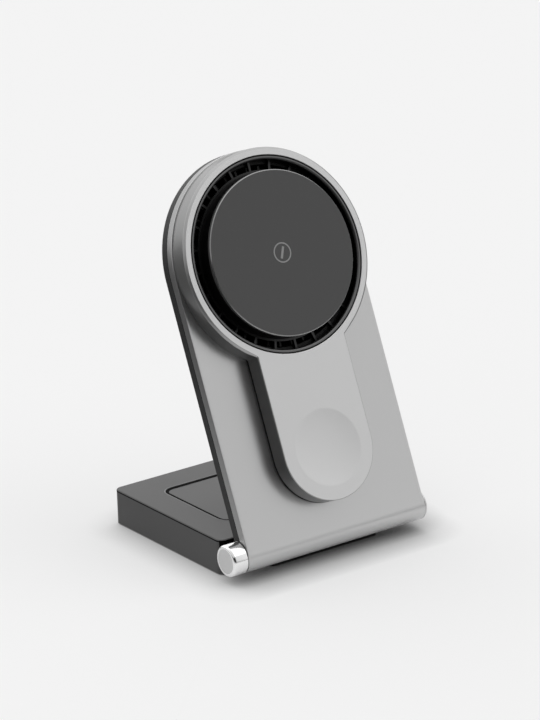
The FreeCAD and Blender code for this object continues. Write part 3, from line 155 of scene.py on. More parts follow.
# Painted reflection: in gloss the table is bright near the stand and falls darker away from it.
place = tree.nodes.new("ShaderNodeTexCoord")
away = tree.nodes.new("ShaderNodeVectorMath")
away.operation = "DISTANCE"
wire(tree, place.outputs["Object"], away.inputs[0])
away.inputs[1].default_value = GLOSS_MIDDLE
painted_gloss_pool = ramp(tree, away.outputs["Value"], GLOSS_NEAR_AT, GLOSS_FAR_AT,
               GLOSS_NEAR - TABLE_BOUNCE, GLOSS_FAR - TABLE_BOUNCE)
in_gloss = combine(tree, "MULTIPLY", path.outputs["Is Glossy Ray"], painted_gloss_pool)
thrown = scale(tree, combine(tree, "SUBTRACT", 1.0, seen), TABLE_BOUNCE)
shade = combine(tree, "ADD", combine(tree, "ADD", scale(tree, lit, TABLE_SEEN), in_gloss), thrown)
matt = tree.nodes.new("ShaderNodeBsdfDiffuse")
wire(tree, shade, matt.inputs["Color"])
glow = tree.nodes.new("ShaderNodeEmission")
wire(tree, scale(tree, lit, TABLE_GLOW), glow.inputs["Strength"])
both = tree.nodes.new("ShaderNodeAddShader")
wire(tree, matt.outputs[0], both.inputs[0])
wire(tree, glow.outputs[0], both.inputs[1])
surface = tree.nodes.new("ShaderNodeOutputMaterial")
wire(tree, both.outputs[0], surface.inputs["Surface"])

corners = np.array([(-1, -1, 0), (1, -1, 0), (1, 1, 0), (-1, 1, 0)]) * FLOOR_HALF - (0, 0, FLOOR_DROP)
floor_mesh = bpy.data.meshes.new("floor")
floor_mesh.from_pydata(corners.tolist(), [], [(0, 1, 2, 3)])
floor_mesh.materials.append(table)
floor = bpy.data.objects.new("floor", floor_mesh)
bpy.context.scene.collection.objects.link(floor)

# Light: a very wide soft lamp overhead and a little behind, a weak one from the right in front, and
# a room that is dark only on the left in front, so that walls that face that way stay dark.
# The lamps are far away, so the table is lit evenly.
KEY_LEVEL, KEY_SPREAD, KEY_FROM = 0.25, np.radians(60), (0.60, -0.65, 0.45)
TOP_LEVEL, TOP_SPREAD, TOP_FROM = 1.90, np.radians(150), (-0.12, 0.40, 1.0)
ROOM_DARK_SIDE = np.array([-0.75, -0.60, 0.10])
ROOM_DARK, ROOM_BRIGHT = 0.02, 0.56
ROOM_DARK_AT, ROOM_BRIGHT_AT = 0.75, 0.0

for name, strength, spread, source in (
    ("key_lamp", KEY_LEVEL, KEY_SPREAD, KEY_FROM),
    ("top_lamp", TOP_LEVEL, TOP_SPREAD, TOP_FROM),
):
    lamp = bpy.data.objects.new(name, bpy.data.lights.new(name, "SUN"))
    lamp.data.energy = strength
    lamp.data.angle = spread
    toward = np.array(source) / np.linalg.norm(source)
    side = np.cross((0, 1, 0), toward)
    side = side / np.linalg.norm(side)
    aim = np.eye(4)
    aim[:3, :3] = np.column_stack([side, np.cross(toward, side), toward])
    lamp.matrix_world = Matrix(aim.tolist())
    bpy.context.scene.collection.objects.link(lamp)

room = bpy.data.worlds.new("studio_room")
bpy.context.scene.world = room
room.use_nodes = True
tree = room.node_tree
look = tree.nodes.new("ShaderNodeTexCoord")
along = tree.nodes.new("ShaderNodeVectorMath")
along.operation = "DOT_PRODUCT"
wire(tree, look.outputs["Generated"], along.inputs[0])
along.inputs[1].default_value = ROOM_DARK_SIDE / np.linalg.norm(ROOM_DARK_SIDE)
brightness = ramp(tree, along.outputs["Value"], ROOM_BRIGHT_AT, ROOM_DARK_AT, ROOM_BRIGHT, ROOM_DARK,
                  "SMOOTHSTEP")
tree.nodes["Background"].inputs["Color"].default_value = (1, 1, 1, 1)
wire(tree, brightness, tree.nodes["Background"].inputs["Strength"])

# Base housing and bottom cover: a dark moulded slab on the desk, open underneath and closed by a screwed
# plate whose flat toe reaches forward under the barrel, both in plastic with a spark-eroded grain.
# A parting line runs round the slab just under its top, where the halves of its tool meet. Its black
# band is painted shade, standing for the shade in the parting groove.
BASE_TONE, PLATE_TONE, LINE_SHADE_TONE = grey(98), grey(22), grey(8)
BASE_CORNER = 2.5
LINE_LOW, LINE_HIGH, LINE_PROUD, LINE_DEEP = 11.95, 12.45, 0.02, 0.2
FINE_DETAIL, BROAD_DETAIL, BROAD_GRAINS, GLOSS_SWING = 3, 4, 60, 0.08
# Places of the colour sockets on a mixing node, two going in and one coming out.
MIX_FROM, MIX_TO, MIX_RESULT = 6, 7, 2
MM = 0.001
MERGE_WITHIN = 1e-7
SHARP_FROM = np.radians(30)


def moulded(name, colour, roughness, grain=0.3, relief=0.01, mottle=0.05, metallic=0.0, specular=0.5):
    """A moulded or coated finish. A fine noise of the given grain stands as bump of the given relief,
    both in millimetres, and a broad noise shifts the colour by the mottle share and the gloss with it."""
    material = bpy.data.materials.new(name)
    material.use_nodes = True
    tree = material.node_tree
    shader = tree.nodes["Principled BSDF"]
    shader.inputs["Metallic"].default_value = metallic
    shader.inputs["Specular IOR Level"].default_value = specular
    place = tree.nodes.new("ShaderNodeTexCoord")

    fine = tree.nodes.new("ShaderNodeTexNoise")
    fine.inputs["Scale"].default_value = 1 / (grain * MM)
    fine.inputs["Detail"].default_value = FINE_DETAIL
    wire(tree, place.outputs["Object"], fine.inputs["Vector"])
    bump = tree.nodes.new("ShaderNodeBump")
    bump.inputs["Distance"].default_value = relief * MM
    wire(tree, fine.outputs["Fac"], bump.inputs["Height"])
    wire(tree, bump.outputs["Normal"], shader.inputs["Normal"])

    broad = tree.nodes.new("ShaderNodeTexNoise")
    broad.inputs["Scale"].default_value = 1 / (BROAD_GRAINS * grain * MM)
    broad.inputs["Detail"].default_value = BROAD_DETAIL
    wire(tree, place.outputs["Object"], broad.inputs["Vector"])
    tint = tree.nodes.new("ShaderNodeMix")
    tint.data_type = "RGBA"
    wire(tree, broad.outputs["Fac"], tint.inputs["Factor"])
    tint.inputs[MIX_FROM].default_value = tuple(c * (1 - mottle) for c in colour[:3]) + (1,)
    tint.inputs[MIX_TO].default_value = tuple(c * (1 + mottle) for c in colour[:3]) + (1,)
    wire(tree, tint.outputs[MIX_RESULT], shader.inputs["Base Color"])
    gloss = scale(tree, broad.outputs["Fac"], GLOSS_SWING, roughness - GLOSS_SWING / 2)
    wire(tree, gloss, shader.inputs["Roughness"])
    return material


def dress(material, *names):
    """Gives solids of the frame their finish, in the material slots that they already have."""
    for name in names:
        for slot in nodes[name].material_slots:
            slot.material = material


def box_of(name):
    """The low and the high corner of a solid of the frame, in millimetres."""
    return [np.array(corner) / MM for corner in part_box(name)]


def rounded_rectangle(low, high, radius, steps=12):
    """Points round a rectangle with round corners, anticlockwise from the front right, and the outward
    direction at each: a corner's centre plus the radius along that direction."""
    turn = np.radians(np.arange(4)[:, None] * 90 - 90 + np.linspace(0, 90, steps))
    outward = np.stack([np.cos(turn), np.sin(turn)], -1)
    (x0, y0), (x1, y1) = np.array(low[:2]) + radius, np.array(high[:2]) - radius
    centres = np.array([(x1, y0), (x1, y1), (x0, y1), (x0, y0)])
    return (centres[:, None] + radius * outward).reshape(-1, 2), outward.reshape(-1, 2)


def sweep(outline, outward, profile):
    """A profile of (inset, height) pairs carried along an outline: each row of the grid is the outline
    stepped inwards by the inset and lifted to the height."""
    inset, height = np.array(profile).T[:, :, None, None]
    flat = outline - inset * outward
    return np.concatenate([flat, np.broadcast_to(height, flat.shape[:2] + (1,))], -1)


def band(grid, finish=0, ring=True, tube=False):
    """The four-cornered faces of a grid of points. A ring joins the ends of each row, and a tube joins
    the last row to the first."""
    rows, columns = grid.shape[:2]
    row, column = np.indices((rows if tube else rows - 1, columns if ring else columns - 1))
    start, after = row * columns, (row + 1) % rows * columns
    beside = (column + 1) % columns
    faces = np.stack([start + column, start + beside, after + beside, after + column], -1)
    return grid, faces.reshape(-1, 4), finish


def lid(loop, finish=0):
    """One flat face that closes a loop of points."""
    return loop, np.arange(len(loop))[None], finish


def rail(grid, finish=0):
    """A closed profile carried along an open path, with a flat face at each end."""
    return [band(grid, finish, ring=False, tube=True), lid(grid[:, 0], finish), lid(grid[:, -1], finish)]


def piece(name, patches, finishes, body, slot, *replaced):
    """A closed smooth object on a body of the frame. A patch is points in millimetres, faces, and the
    number of its finish. Points where patches meet are merged, and the faces are turned outwards."""
    counts = [np.size(points) // 3 for points, _, _ in patches]
    starts = np.cumsum([0] + counts[:-1])
    points = np.concatenate([np.reshape(points, (-1, 3)) for points, _, _ in patches]) * MM
    faces = [face for (_, patch, _), start in zip(patches, starts) for face in (patch + start).tolist()]
    numbers = np.concatenate([np.full(len(patch), number, np.int32) for _, patch, number in patches])
    mesh = bpy.data.meshes.new(name)
    mesh.from_pydata(points.tolist(), [], faces)
    for finish in finishes:
        mesh.materials.append(finish)
    mesh.polygons.foreach_set("material_index", numbers)
    work = bmesh.new()
    work.from_mesh(mesh)
    bmesh.ops.remove_doubles(work, verts=work.verts, dist=MERGE_WITHIN)
    bmesh.ops.recalc_face_normals(work, faces=work.faces)
    work.to_mesh(mesh)
    work.free()
    mesh.shade_smooth()
    mesh.set_sharp_from_angle(angle=SHARP_FROM)
    made = bpy.data.objects.new(name, mesh)
    bpy.context.scene.collection.objects.link(made)
    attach(made, body)
    if replaced:
        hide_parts(*replaced)


dress(moulded("base_plastic", BASE_TONE, 0.5, relief=0.03, specular=0.3), "base_housing")
dress(moulded("plate_plastic", PLATE_TONE, 0.6, relief=0.03, specular=0.2), "base_bottom_cover")
base_low, base_high = box_of("base_housing")
base_outline, base_outward = rounded_rectangle(base_low, base_high, BASE_CORNER)
line_grid = sweep(base_outline, base_outward, [
    (-LINE_PROUD, LINE_LOW), (-LINE_PROUD, LINE_HIGH), (LINE_DEEP, LINE_HIGH), (LINE_DEEP, LINE_LOW)])
# Painted shade: the parting line is a black band on the wall, for the shade in its groove.
painted_line_shade = moulded("painted_line_shade", LINE_SHADE_TONE, 0.7, specular=0.2)
piece("parting_line_shade", [band(line_grid, tube=True)], [painted_line_shade], "base", "base_black")

# Earbud pad: a soft silicone inlay that lies in the base's recess, a little below its top. A groove
# runs all round it; a black band in its floor is painted shade for the groove, and a fine rounded lip
# on its outer edge is paler and glossier than the base, a painted highlight along it.
INLAY_TONE, LIP_HIGHLIGHT_TONE, SEAL_SHADE_TONE = grey(98), grey(118), grey(5)
INLAY_SHRINK, INLAY_CORNER, INLAY_EDGE, INLAY_RIM = 0.25, 3.4, 0.08, 0.05
GROOVE_WIDTH, RECESS_CORNER = 0.9, 4.5
SEAL_DROP, SEAL_BELOW, SEAL_LAP, SEAL_DEEP = 0.12, 0.09, 0.02, 0.2
LIP_WIDTH, LIP_RISE, LIP_GAP, LIP_SUNK, LIP_STEPS = 0.45, 0.10, 0.02, 0.01, 9


def rounding(radius, steps=6):
    """Inset and drop along a quarter round that turns a wall into the flat above it: the radius less
    its cosine, and less its sine."""
    turn = np.radians(np.linspace(0, 90, steps))
    return radius - radius * np.stack([np.cos(turn), np.sin(turn)], -1)


inlay_low, inlay_high = box_of("earbud_pad")
inlay_bottom, inlay_top, base_top = inlay_low[2], inlay_high[2], base_high[2]
outline, outward = rounded_rectangle(inlay_low + INLAY_SHRINK, inlay_high - INLAY_SHRINK, INLAY_CORNER)
edge = [(inset, inlay_top - drop) for inset, drop in rounding(INLAY_EDGE)]
inlay_grid = sweep(outline, outward, [(0, inlay_bottom), *edge, (INLAY_EDGE + INLAY_RIM, inlay_top)])
inlay_silicone = moulded("inlay_silicone", INLAY_TONE, 0.55, grain=0.25, relief=0.02)
piece("earbud_inlay", [lid(inlay_grid[0]), band(inlay_grid), lid(inlay_grid[-1])], [inlay_silicone],
      "base", "inlay_dark", "earbud_pad")

outline, outward = rounded_rectangle(inlay_low - GROOVE_WIDTH, inlay_high + GROOVE_WIDTH, RECESS_CORNER)
turn = np.linspace(0, np.pi, LIP_STEPS)
lip_inset = -LIP_GAP - LIP_WIDTH / 2 * (1 - np.cos(turn))
lip_height = base_top - LIP_SUNK + LIP_RISE * np.sin(turn)
lip_grid = sweep(outline, outward, np.stack([lip_inset, lip_height], -1))
# Painted highlight: the lip is a paler, glossier copy of the base plastic.
lip_painted_highlight = moulded("lip_painted_highlight", LIP_HIGHLIGHT_TONE, 0.3)
piece("recess_lip", [band(lip_grid, tube=True)], [lip_painted_highlight], "base", "base_black")

seal_floor, seal_shoulder = base_top - SEAL_DROP, inlay_top - SEAL_BELOW
seal_near, seal_far = GROOVE_WIDTH + INLAY_SHRINK - SEAL_LAP, GROOVE_WIDTH + INLAY_SHRINK + SEAL_LAP
seal_grid = sweep(outline, outward, [
    (0, seal_floor), (seal_near, seal_floor), (seal_near, seal_shoulder), (seal_far, seal_shoulder),
    (seal_far, seal_floor - SEAL_DEEP), (0, seal_floor - SEAL_DEEP)])
# Painted shade: a black band in the groove's floor stands for the shade in the groove.
seal_black = moulded("seal_black", SEAL_SHADE_TONE, 0.8, specular=0.1)
piece("groove_shade", [band(seal_grid, tube=True)], [seal_black], "base", "inlay_dark")

# Feet: thin silicone sheets cut to shape and glued under the base and under its toe. They carry the
# stand and keep it from sliding, and only their edges show.
FOOT_TONE = grey(14)
dress(moulded("foot_silicone", FOOT_TONE, 0.7, relief=0.03), "foot_pad", "front_foot")

# Hinge: a bracket on the base and a knuckle leaf on the panel, cast in zinc and coated black, which
# turn on a steel pin and are held by small steel screws. A black sheet on the base's front wall and
# round its corners is painted shade for the gap behind the barrel.
HINGE_TONE, STEEL_TONE, FILM_SHADE_TONE = grey(30), grey(190), grey(3)
FILM_LOW, FILM_HIGH, FILM_PROUD, FILM_DEEP, FILM_WRAP = 4.5, 12.5, 0.03, 0.2, 0.45
METAL_GRAIN = 0.4


def metal(name, colour, roughness, relief=0.01, mottle=0.05, metallic=1.0):
    """A drawn, turned or plated metal: the moulded finish with a coarser grain and a metal's sheen."""
    return moulded(name, colour, roughness, METAL_GRAIN, relief, mottle, metallic)


dress(moulded("hinge_coating", HINGE_TONE, 0.45, grain=0.2), "hinge_bracket", "hinge_block")
steel = metal("bright_steel", STEEL_TONE, 0.28, relief=0.004)
dress(steel, "hinge_pin", "bracket_screws", "hinge_screws")
# Turned a quarter on, the outline starts at the left end of the front wall, which is then one run.
from_left = np.roll(np.arange(len(base_outline)), len(base_outline) // 4)
front = from_left[base_outward[from_left, 1] < -FILM_WRAP]
film_grid = sweep(base_outline[front], base_outward[front], [
    (-FILM_PROUD, FILM_LOW), (-FILM_PROUD, FILM_HIGH), (FILM_DEEP, FILM_HIGH), (FILM_DEEP, FILM_LOW)])
# Painted shade: a near-black sheet on the base's front wall stands for the shade in the gap behind the
# barrel.
painted_gap_shade = moulded("painted_gap_shade", FILM_SHADE_TONE, 0.8, specular=0.05)
piece("gap_shade_sheet", rail(film_grid), [painted_gap_shade], "base", "hinge_black")

# Screws, ballast and power inlet: bright steel pieces in the shells. Screws hold the bottom cover and the
# module, a cut plate weighs the base down, and the inlet's drawn shell shows in the base's back wall.
dress(steel, "base_screws", "module_screws", "ballast_plate", "usb_c_port")

# Panel: an aluminium plate with a round top, rolled at its foot into the hinge barrel, then blasted
# fine and clear anodised. Its cut edge is crisp and painted darker than its face, painted shade for the
# side that turns from the light. Behind it sits a dark moulded tray with the air slots.
PANEL_TONE, EDGE_SHADE_TONE, COVER_TONE = grey(203), grey(158), grey(50)
LEAN = np.radians(22.55)
BARREL_AXIS = np.array([0.0, -39.4, 8.5])
BARREL_RADIUS, PANEL_HALF, HEAD_REACH = 5.5, 37.2, 95.4
PANEL_FACE, PANEL_BACK = 5.5, 2.6
EDGE_ROUND, EDGE_LAP, EDGE_SKIN, EDGE_DEEP = 0.12, 1.0, 0.01, 0.2
SIDE_STEPS, TOP_STEPS = 30, 60
BLAST_GRAIN, BLAST_MOTTLE = 0.16, 0.015
PANEL_TURN = np.array([(1, 0, 0), (0, np.sin(LEAN), np.cos(LEAN)), (0, -np.cos(LEAN), np.sin(LEAN))])


def on_panel(points):
    """Points given across, up and out of the panel from the middle of the barrel's axis, turned by the
    panel's lean into the frame."""
    return BARREL_AXIS + points @ PANEL_TURN


def arc(centre, radius, start, finish, steps, sense=1):
    """Points of an arc from one angle in degrees, short of another: the centre plus the radius along the
    cosine and sine. Directions point away from the centre, or towards it where the sense is minus one."""
    turn = np.radians(np.linspace(start, finish, steps, endpoint=False))
    away = np.stack([np.cos(turn), np.sin(turn)], -1)
    return np.array(centre) + radius * away, sense * away


def straight(start, finish, outward, steps):
    """Points along a line from its start, short of its finish, and one outward direction for them all."""
    share = np.linspace(0, 1, steps, endpoint=False)[:, None]
    points = np.array(start) * (1 - share) + np.array(finish) * share
    return points, np.tile(np.array(outward, float), (steps, 1))


def joined(*runs):
    """Runs of points and directions, one after another."""
    return np.concatenate([points for points, _ in runs]), np.concatenate([out for _, out in runs])


def anodised(name, colour, roughness, relief, metallic=0.92):
    """Metal blasted fine and anodised: the moulded finish with a very fine grain and an even colour."""
    return moulded(name, colour, roughness, BLAST_GRAIN, relief, BLAST_MOTTLE, metallic)


panel_anodised = anodised("panel_anodised", PANEL_TONE, 0.30, 0.002)
dress(panel_anodised, "front_shell")
dress(moulded("cover_plastic", COVER_TONE, 0.5, relief=0.03, specular=0.3), "back_cover")
right_half, right_outward = joined(
    straight((PANEL_HALF, 0), (PANEL_HALF, HEAD_REACH), (1, 0), SIDE_STEPS),
    arc((0, HEAD_REACH), PANEL_HALF, 0, 90, TOP_STEPS))
outline = np.concatenate([right_half, right_half[::-1] * (-1, 1)])
outward = np.concatenate([right_outward, right_outward[::-1] * (-1, 1)])
face_level = PANEL_FACE + EDGE_SKIN
corner = [(inset - EDGE_SKIN, face_level - drop) for inset, drop in rounding(EDGE_ROUND)]
over_face = [*corner, (EDGE_LAP, face_level)]
round_back = [
    over_face[-1], (EDGE_LAP, PANEL_FACE - EDGE_DEEP), (EDGE_DEEP, PANEL_FACE - EDGE_DEEP),
    (EDGE_DEEP, PANEL_BACK), (-EDGE_SKIN, PANEL_BACK), over_face[0]]
face_grid = on_panel(sweep(outline, outward, over_face))
back_grid = on_panel(sweep(outline, outward, round_back))
ends = on_panel(sweep(outline[[0, -1]], outward[[0, -1]], over_face + round_back[1:-1]))
# Painted shade: the cut edge is a darker copy of the panel's finish.
edge_painted_shade = anodised("edge_painted_shade", EDGE_SHADE_TONE, 0.32, 0.004)
piece("panel_edge", [
    band(face_grid, ring=False), band(back_grid, 1, ring=False), lid(ends[:, 0], 1), lid(ends[:, 1], 1),
], [panel_anodised, edge_painted_shade], "panel", "panel_grey")

# End caps: plugs turned from bright metal and pressed into the barrel, a long one on the left and a
# slim one on the right in the panel's finish. The long one has a polished round edge, a satin end
# with fine turning rings, and a dark groove at its foot.
CAP_TONE, CAP_END_TONE = grey(246), grey(208)
CAP_STEPS = 96
CAP_BREAK, CAP_GROOVE, CAP_FLAT = 0.12, 0.35, 0.3
LEFT_LENGTH, LEFT_NECK, LEFT_ROUND = 5.9, 4.8, 0.9
RIGHT_LENGTH, RIGHT_NECK, RIGHT_ROUND = 1.2, 5.38, 0.5
RING_PITCH, RING_RELIEF = 0.18, 0.003
# A wave pattern turns through this many radians for each unit of its scale.
WAVE_RATE = 20


def turned(profile, steps=180):
    """A profile of (radius, height) pairs turned round an axis: the radius along the cosine and sine of
    the angle, and the height along the axis."""
    radius, height = np.array(profile, float).T[:, :, None]
    turn = np.linspace(0, 2 * np.pi, steps, endpoint=False)
    return np.stack([radius * np.cos(turn), radius * np.sin(turn), height + 0 * turn], -1)


def turning_rings(material):
    """Adds fine rings round the barrel's axis to a finish, a bump that is a sine of the distance from
    the axis."""
    tree = material.node_tree
    shader = tree.nodes["Principled BSDF"]
    place = tree.nodes.new("ShaderNodeTexCoord")
    centred = tree.nodes.new("ShaderNodeMapping")
    centred.inputs["Location"].default_value = -BARREL_AXIS * MM
    wire(tree, place.outputs["Object"], centred.inputs["Vector"])
    rings = tree.nodes.new("ShaderNodeTexWave")
    rings.wave_type = "RINGS"
    rings.rings_direction = "X"
    rings.inputs["Scale"].default_value = 2 * np.pi / (RING_PITCH * MM * WAVE_RATE)
    wire(tree, centred.outputs["Vector"], rings.inputs["Vector"])
    bump = tree.nodes.new("ShaderNodeBump")
    bump.inputs["Distance"].default_value = RING_RELIEF * MM
    wire(tree, rings.outputs["Fac"], bump.inputs["Height"])
    wire(tree, shader.inputs["Normal"].links[0].from_socket, bump.inputs["Normal"])
    wire(tree, bump.outputs["Normal"], shader.inputs["Normal"])


cap_polish = metal("cap_polish", CAP_TONE, 0.16, relief=0.002, mottle=0.02)
cap_satin = metal("cap_satin", CAP_END_TONE, 0.3, relief=0.002, mottle=0.02)
turning_rings(cap_satin)
for name, side, length, neck, rounded, finishes in (
    ("left", -1, LEFT_LENGTH, LEFT_NECK, LEFT_ROUND, [cap_polish, cap_satin]),
    ("right", 1, RIGHT_LENGTH, RIGHT_NECK, RIGHT_ROUND, [panel_anodised, panel_anodised]),
):
    groove = [(neck, 0), (neck, CAP_GROOVE), (BARREL_RADIUS - CAP_BREAK, CAP_GROOVE),
              (BARREL_RADIUS, CAP_GROOVE + CAP_BREAK)]
    edge = [(BARREL_RADIUS - inset, length - drop) for inset, drop in rounding(rounded)]
    shape = turned([*groove, *edge, (BARREL_RADIUS - rounded - CAP_FLAT, length)], CAP_STEPS)
    grid = shape[..., [2, 0, 1]] * (side, 1, 1) + BARREL_AXIS + (side * PANEL_HALF, 0, 0)
    piece(f"cap_{name}", [lid(grid[0]), band(grid), lid(grid[-1], 1)], finishes,
          "panel", "cap_metal", f"end_cap_{name}")

# Module: a keyhole casting of the panel's metal, fine blasted, on a thin black seal. Its round head
# holds the phone pad behind a bevelled edge, and its tongue has a crisp edge and a shallow dish for a
# watch. Its walls and bevel are painted darker than its face, painted shade for surfaces that turn from
# the light, and the seal shows as a line under the tongue.
MODULE_TONE, WALL_SHADE_TONE, BEVEL_SHADE_TONE, RUBBER_TONE = grey(219), grey(143), grey(176), grey(4)
HEAD_RADIUS, OPENING_RADIUS = 36.8, 34.0
TONGUE_REACH, TONGUE_HALF, NECK_FILLET = 27.95, 18.2, 0.9
MODULE_BACK, MODULE_FACE, MODULE_SKIRT, SKIRT_DROP = 5.8, 12.85, 0.6, 0.24
HEAD_BEVEL, TONGUE_BEVEL, BEVEL_FROM, BEVEL_BLEND = 0.75, 0.25, 62.6, 3.0
# Inset and drop along the bevel as shares of its width, eased a little at both ends.
BEVEL_SHAPE = np.array([(0, 1.1), (0, 1), (0.05, 0.88), (0.12, 0.80), (0.85, 0.12), (0.94, 0.04), (1, 0)])
RIM_FLAT, BORE_ROUND = 0.05, 0.2
DISH_RADIUS, DISH_DEPTH, DISH_LEDGE, DISH_RIM = 13.3, 0.5, 0.1, 0.3
DISH_STEPS, BOWL_STEPS, BOWL_EYE = 120, 24, 0.04
SEAM_LOW, SEAM_HIGH, SEAM_PROUD, SEAM_DEEP, SEAM_BELOW = 5.52, 6.25, 0.02, 0.3, 63.0
HEAD_STEPS, NECK_STEPS, FLANK_STEPS, TONGUE_STEPS = 240, 10, 24, 90
NET_WITHIN = 1e-5


def keyhole():
    """Points of the keyhole outline, anticlockwise from the right of the neck, and their outward
    directions: the head's arc, two small fillets that touch it, the tongue's sides and its round end."""
    neck_x = TONGUE_HALF + NECK_FILLET
    neck_y = HEAD_REACH - np.sqrt((HEAD_RADIUS + NECK_FILLET) ** 2 - neck_x ** 2)
    dip = np.degrees(np.arctan2(neck_y - HEAD_REACH, neck_x))
    return joined(
        arc((0, HEAD_REACH), HEAD_RADIUS, dip, 180 - dip, HEAD_STEPS),
        arc((-neck_x, neck_y), NECK_FILLET, -dip, 0, NECK_STEPS, sense=-1),
        straight((-TONGUE_HALF, neck_y), (-TONGUE_HALF, TONGUE_REACH), (-1, 0), FLANK_STEPS),
        arc((0, TONGUE_REACH), TONGUE_HALF, 180, 360, TONGUE_STEPS),
        straight((TONGUE_HALF, TONGUE_REACH), (TONGUE_HALF, neck_y), (1, 0), FLANK_STEPS),
        arc((neck_x, neck_y), NECK_FILLET, 180, 180 + dip, NECK_STEPS, sense=-1))


def inside(points, loop):
    """Which points lie inside a closed loop, by counting the edges that a ray from each crosses."""
    start, finish = loop, np.roll(loop, -1, axis=0)
    x, y = points[:, :1], points[:, 1:]
    crosses = (start[:, 1] > y) != (finish[:, 1] > y)
    climb = np.where(finish[:, 1] == start[:, 1], 1, finish[:, 1] - start[:, 1])
    meets = start[:, 0] + (y - start[:, 1]) / climb * (finish[:, 0] - start[:, 0])
    return (crosses & (x < meets)).sum(axis=1) % 2 == 1


def web(outer, holes, height, finish=0):
    """A flat web on the panel between an outline and the holes in it: a net of triangles over all their
    points, less those whose middle lies outside the outline or in a hole."""
    sizes = [len(loop) for loop in (outer, *holes)]
    starts = np.cumsum([0] + sizes[:-1])
    steps = [np.arange(size) for size in sizes]
    edges = [start + np.stack([step, np.roll(step, -1)], -1) for start, step in zip(starts, steps)]
    corners = np.concatenate([outer, *holes]).tolist()
    net = delaunay_2d_cdt(corners, np.concatenate(edges).tolist(), [], 0, NET_WITHIN)
    points, faces = np.array(net[0]), np.array(net[2])
    middles = points[faces].mean(axis=1)
    kept = inside(middles, outer) & ~np.any([inside(middles, hole) for hole in holes], axis=0)
    return on_panel(np.column_stack([points, np.full(len(points), height)])), faces[kept], finish


def round_point(reach, profile, steps=180):
    """A profile of (radius, height) pairs turned round a point on the panel's middle line."""
    return turned(profile, steps) + (0, reach, 0)


outline, outward = keyhole()
blend = np.clip((outline[:, 1] - BEVEL_FROM) / BEVEL_BLEND, 0, 1)
bevel = TONGUE_BEVEL + (HEAD_BEVEL - TONGUE_BEVEL) * blend
foot = MODULE_BACK - SKIRT_DROP * blend
even = np.zeros(len(outline))
insets, heights = np.array([
    (even + MODULE_SKIRT, even + MODULE_BACK), (even + MODULE_SKIRT, foot), (even, foot),
    *((bevel * inset, MODULE_FACE - bevel * drop) for inset, drop in BEVEL_SHAPE),
    (bevel + RIM_FLAT, even + MODULE_FACE)]).transpose(1, 0, 2)[..., None]
wall_flat = outline - insets * outward
wall_grid = on_panel(np.concatenate([wall_flat, heights], -1))
bore_edge = [(OPENING_RADIUS + inset, MODULE_FACE - drop) for inset, drop in rounding(BORE_ROUND)[::-1]]
bore = round_point(HEAD_REACH, [
    (OPENING_RADIUS + BORE_ROUND + RIM_FLAT, MODULE_FACE), *bore_edge, (OPENING_RADIUS, MODULE_BACK)])
shares = np.linspace(1, BOWL_EYE, BOWL_STEPS)
dish_bowl = np.stack([DISH_RADIUS * shares, MODULE_FACE - DISH_DEPTH * (1 - shares ** 2)], -1)
dish = round_point(TONGUE_REACH, [
    (DISH_RADIUS + DISH_RIM, MODULE_FACE), (DISH_RADIUS + DISH_LEDGE, MODULE_FACE), *dish_bowl],
    DISH_STEPS)
module_anodised = anodised("module_anodised", MODULE_TONE, 0.38, 0.006)
# Painted shade: the walls and the bevel are darker copies of the module's finish.
wall_painted_shade = anodised("wall_painted_shade", WALL_SHADE_TONE, 0.32, 0.004, metallic=0.85)
bevel_painted_shade = anodised("bevel_painted_shade", BEVEL_SHADE_TONE, 0.38, 0.006)
piece("module_casting", [
    web(wall_flat[-1], [bore[0, :, :2], dish[0, :, :2]], MODULE_FACE), band(wall_grid[-2:]),
    band(on_panel(bore)), band(on_panel(dish)), lid(on_panel(dish[-1])),
    band(wall_grid[:4], 1), band(wall_grid[3:-1], 2), web(wall_flat[0], [bore[-1, :, :2]], MODULE_BACK, 1),
], [module_anodised, wall_painted_shade, bevel_painted_shade], "panel", "panel_grey", "module_shell")

seal_rubber = moulded("seal_rubber", RUBBER_TONE, 0.7, grain=0.2, specular=0.1)
dress(seal_rubber, "module_gasket")
tongue = outline[:, 1] < SEAM_BELOW
seam_grid = on_panel(sweep(outline[tongue], outward[tongue], [
    (-SEAM_PROUD, SEAM_LOW), (-SEAM_PROUD, SEAM_HIGH), (SEAM_DEEP, SEAM_HIGH), (SEAM_DEEP, SEAM_LOW)]))
piece("tongue_seam", rail(seam_grid), [seal_rubber], "panel", "seal_black")

# Phone pad: a disc of dark soft-touch plastic, cemented on its carrier over the coil and magnets. Its
# fine bevel is given a bright glossy metal finish, a painted highlight round the pad. A plain ring with a
# slanted bar is printed in its middle.
PAD_TONE, RIM_HIGHLIGHT_TONE, MARK_TONE = grey(83), grey(150), grey(168)
PAD_RADIUS, PAD_BACK, PAD_TOP, PAD_LAP = 28.5, 14.6, 16.0, 1.0
RIM_WIDTH = 0.3
MARK_OUTER, MARK_INNER, MARK_LIFT, MARK_DEEP, MARK_STEPS = 3.5, 3.05, 0.012, 0.05, 72
BAR_HALF_LENGTH, BAR_HALF_WIDTH, BAR_LEAN = 2.1, 0.42, np.radians(24)

pad_edge, pad_shoulder = PAD_RADIUS - RIM_WIDTH, PAD_TOP - RIM_WIDTH
pad_side = on_panel(round_point(HEAD_REACH, [
    (PAD_RADIUS - PAD_LAP, PAD_BACK), (PAD_RADIUS, PAD_BACK), (PAD_RADIUS, pad_shoulder)]))
pad_bevel = on_panel(round_point(HEAD_REACH, [(PAD_RADIUS, pad_shoulder), (pad_edge, PAD_TOP)]))
pad_rubber = moulded("pad_rubber", PAD_TONE, 0.5, grain=0.2, relief=0.008)
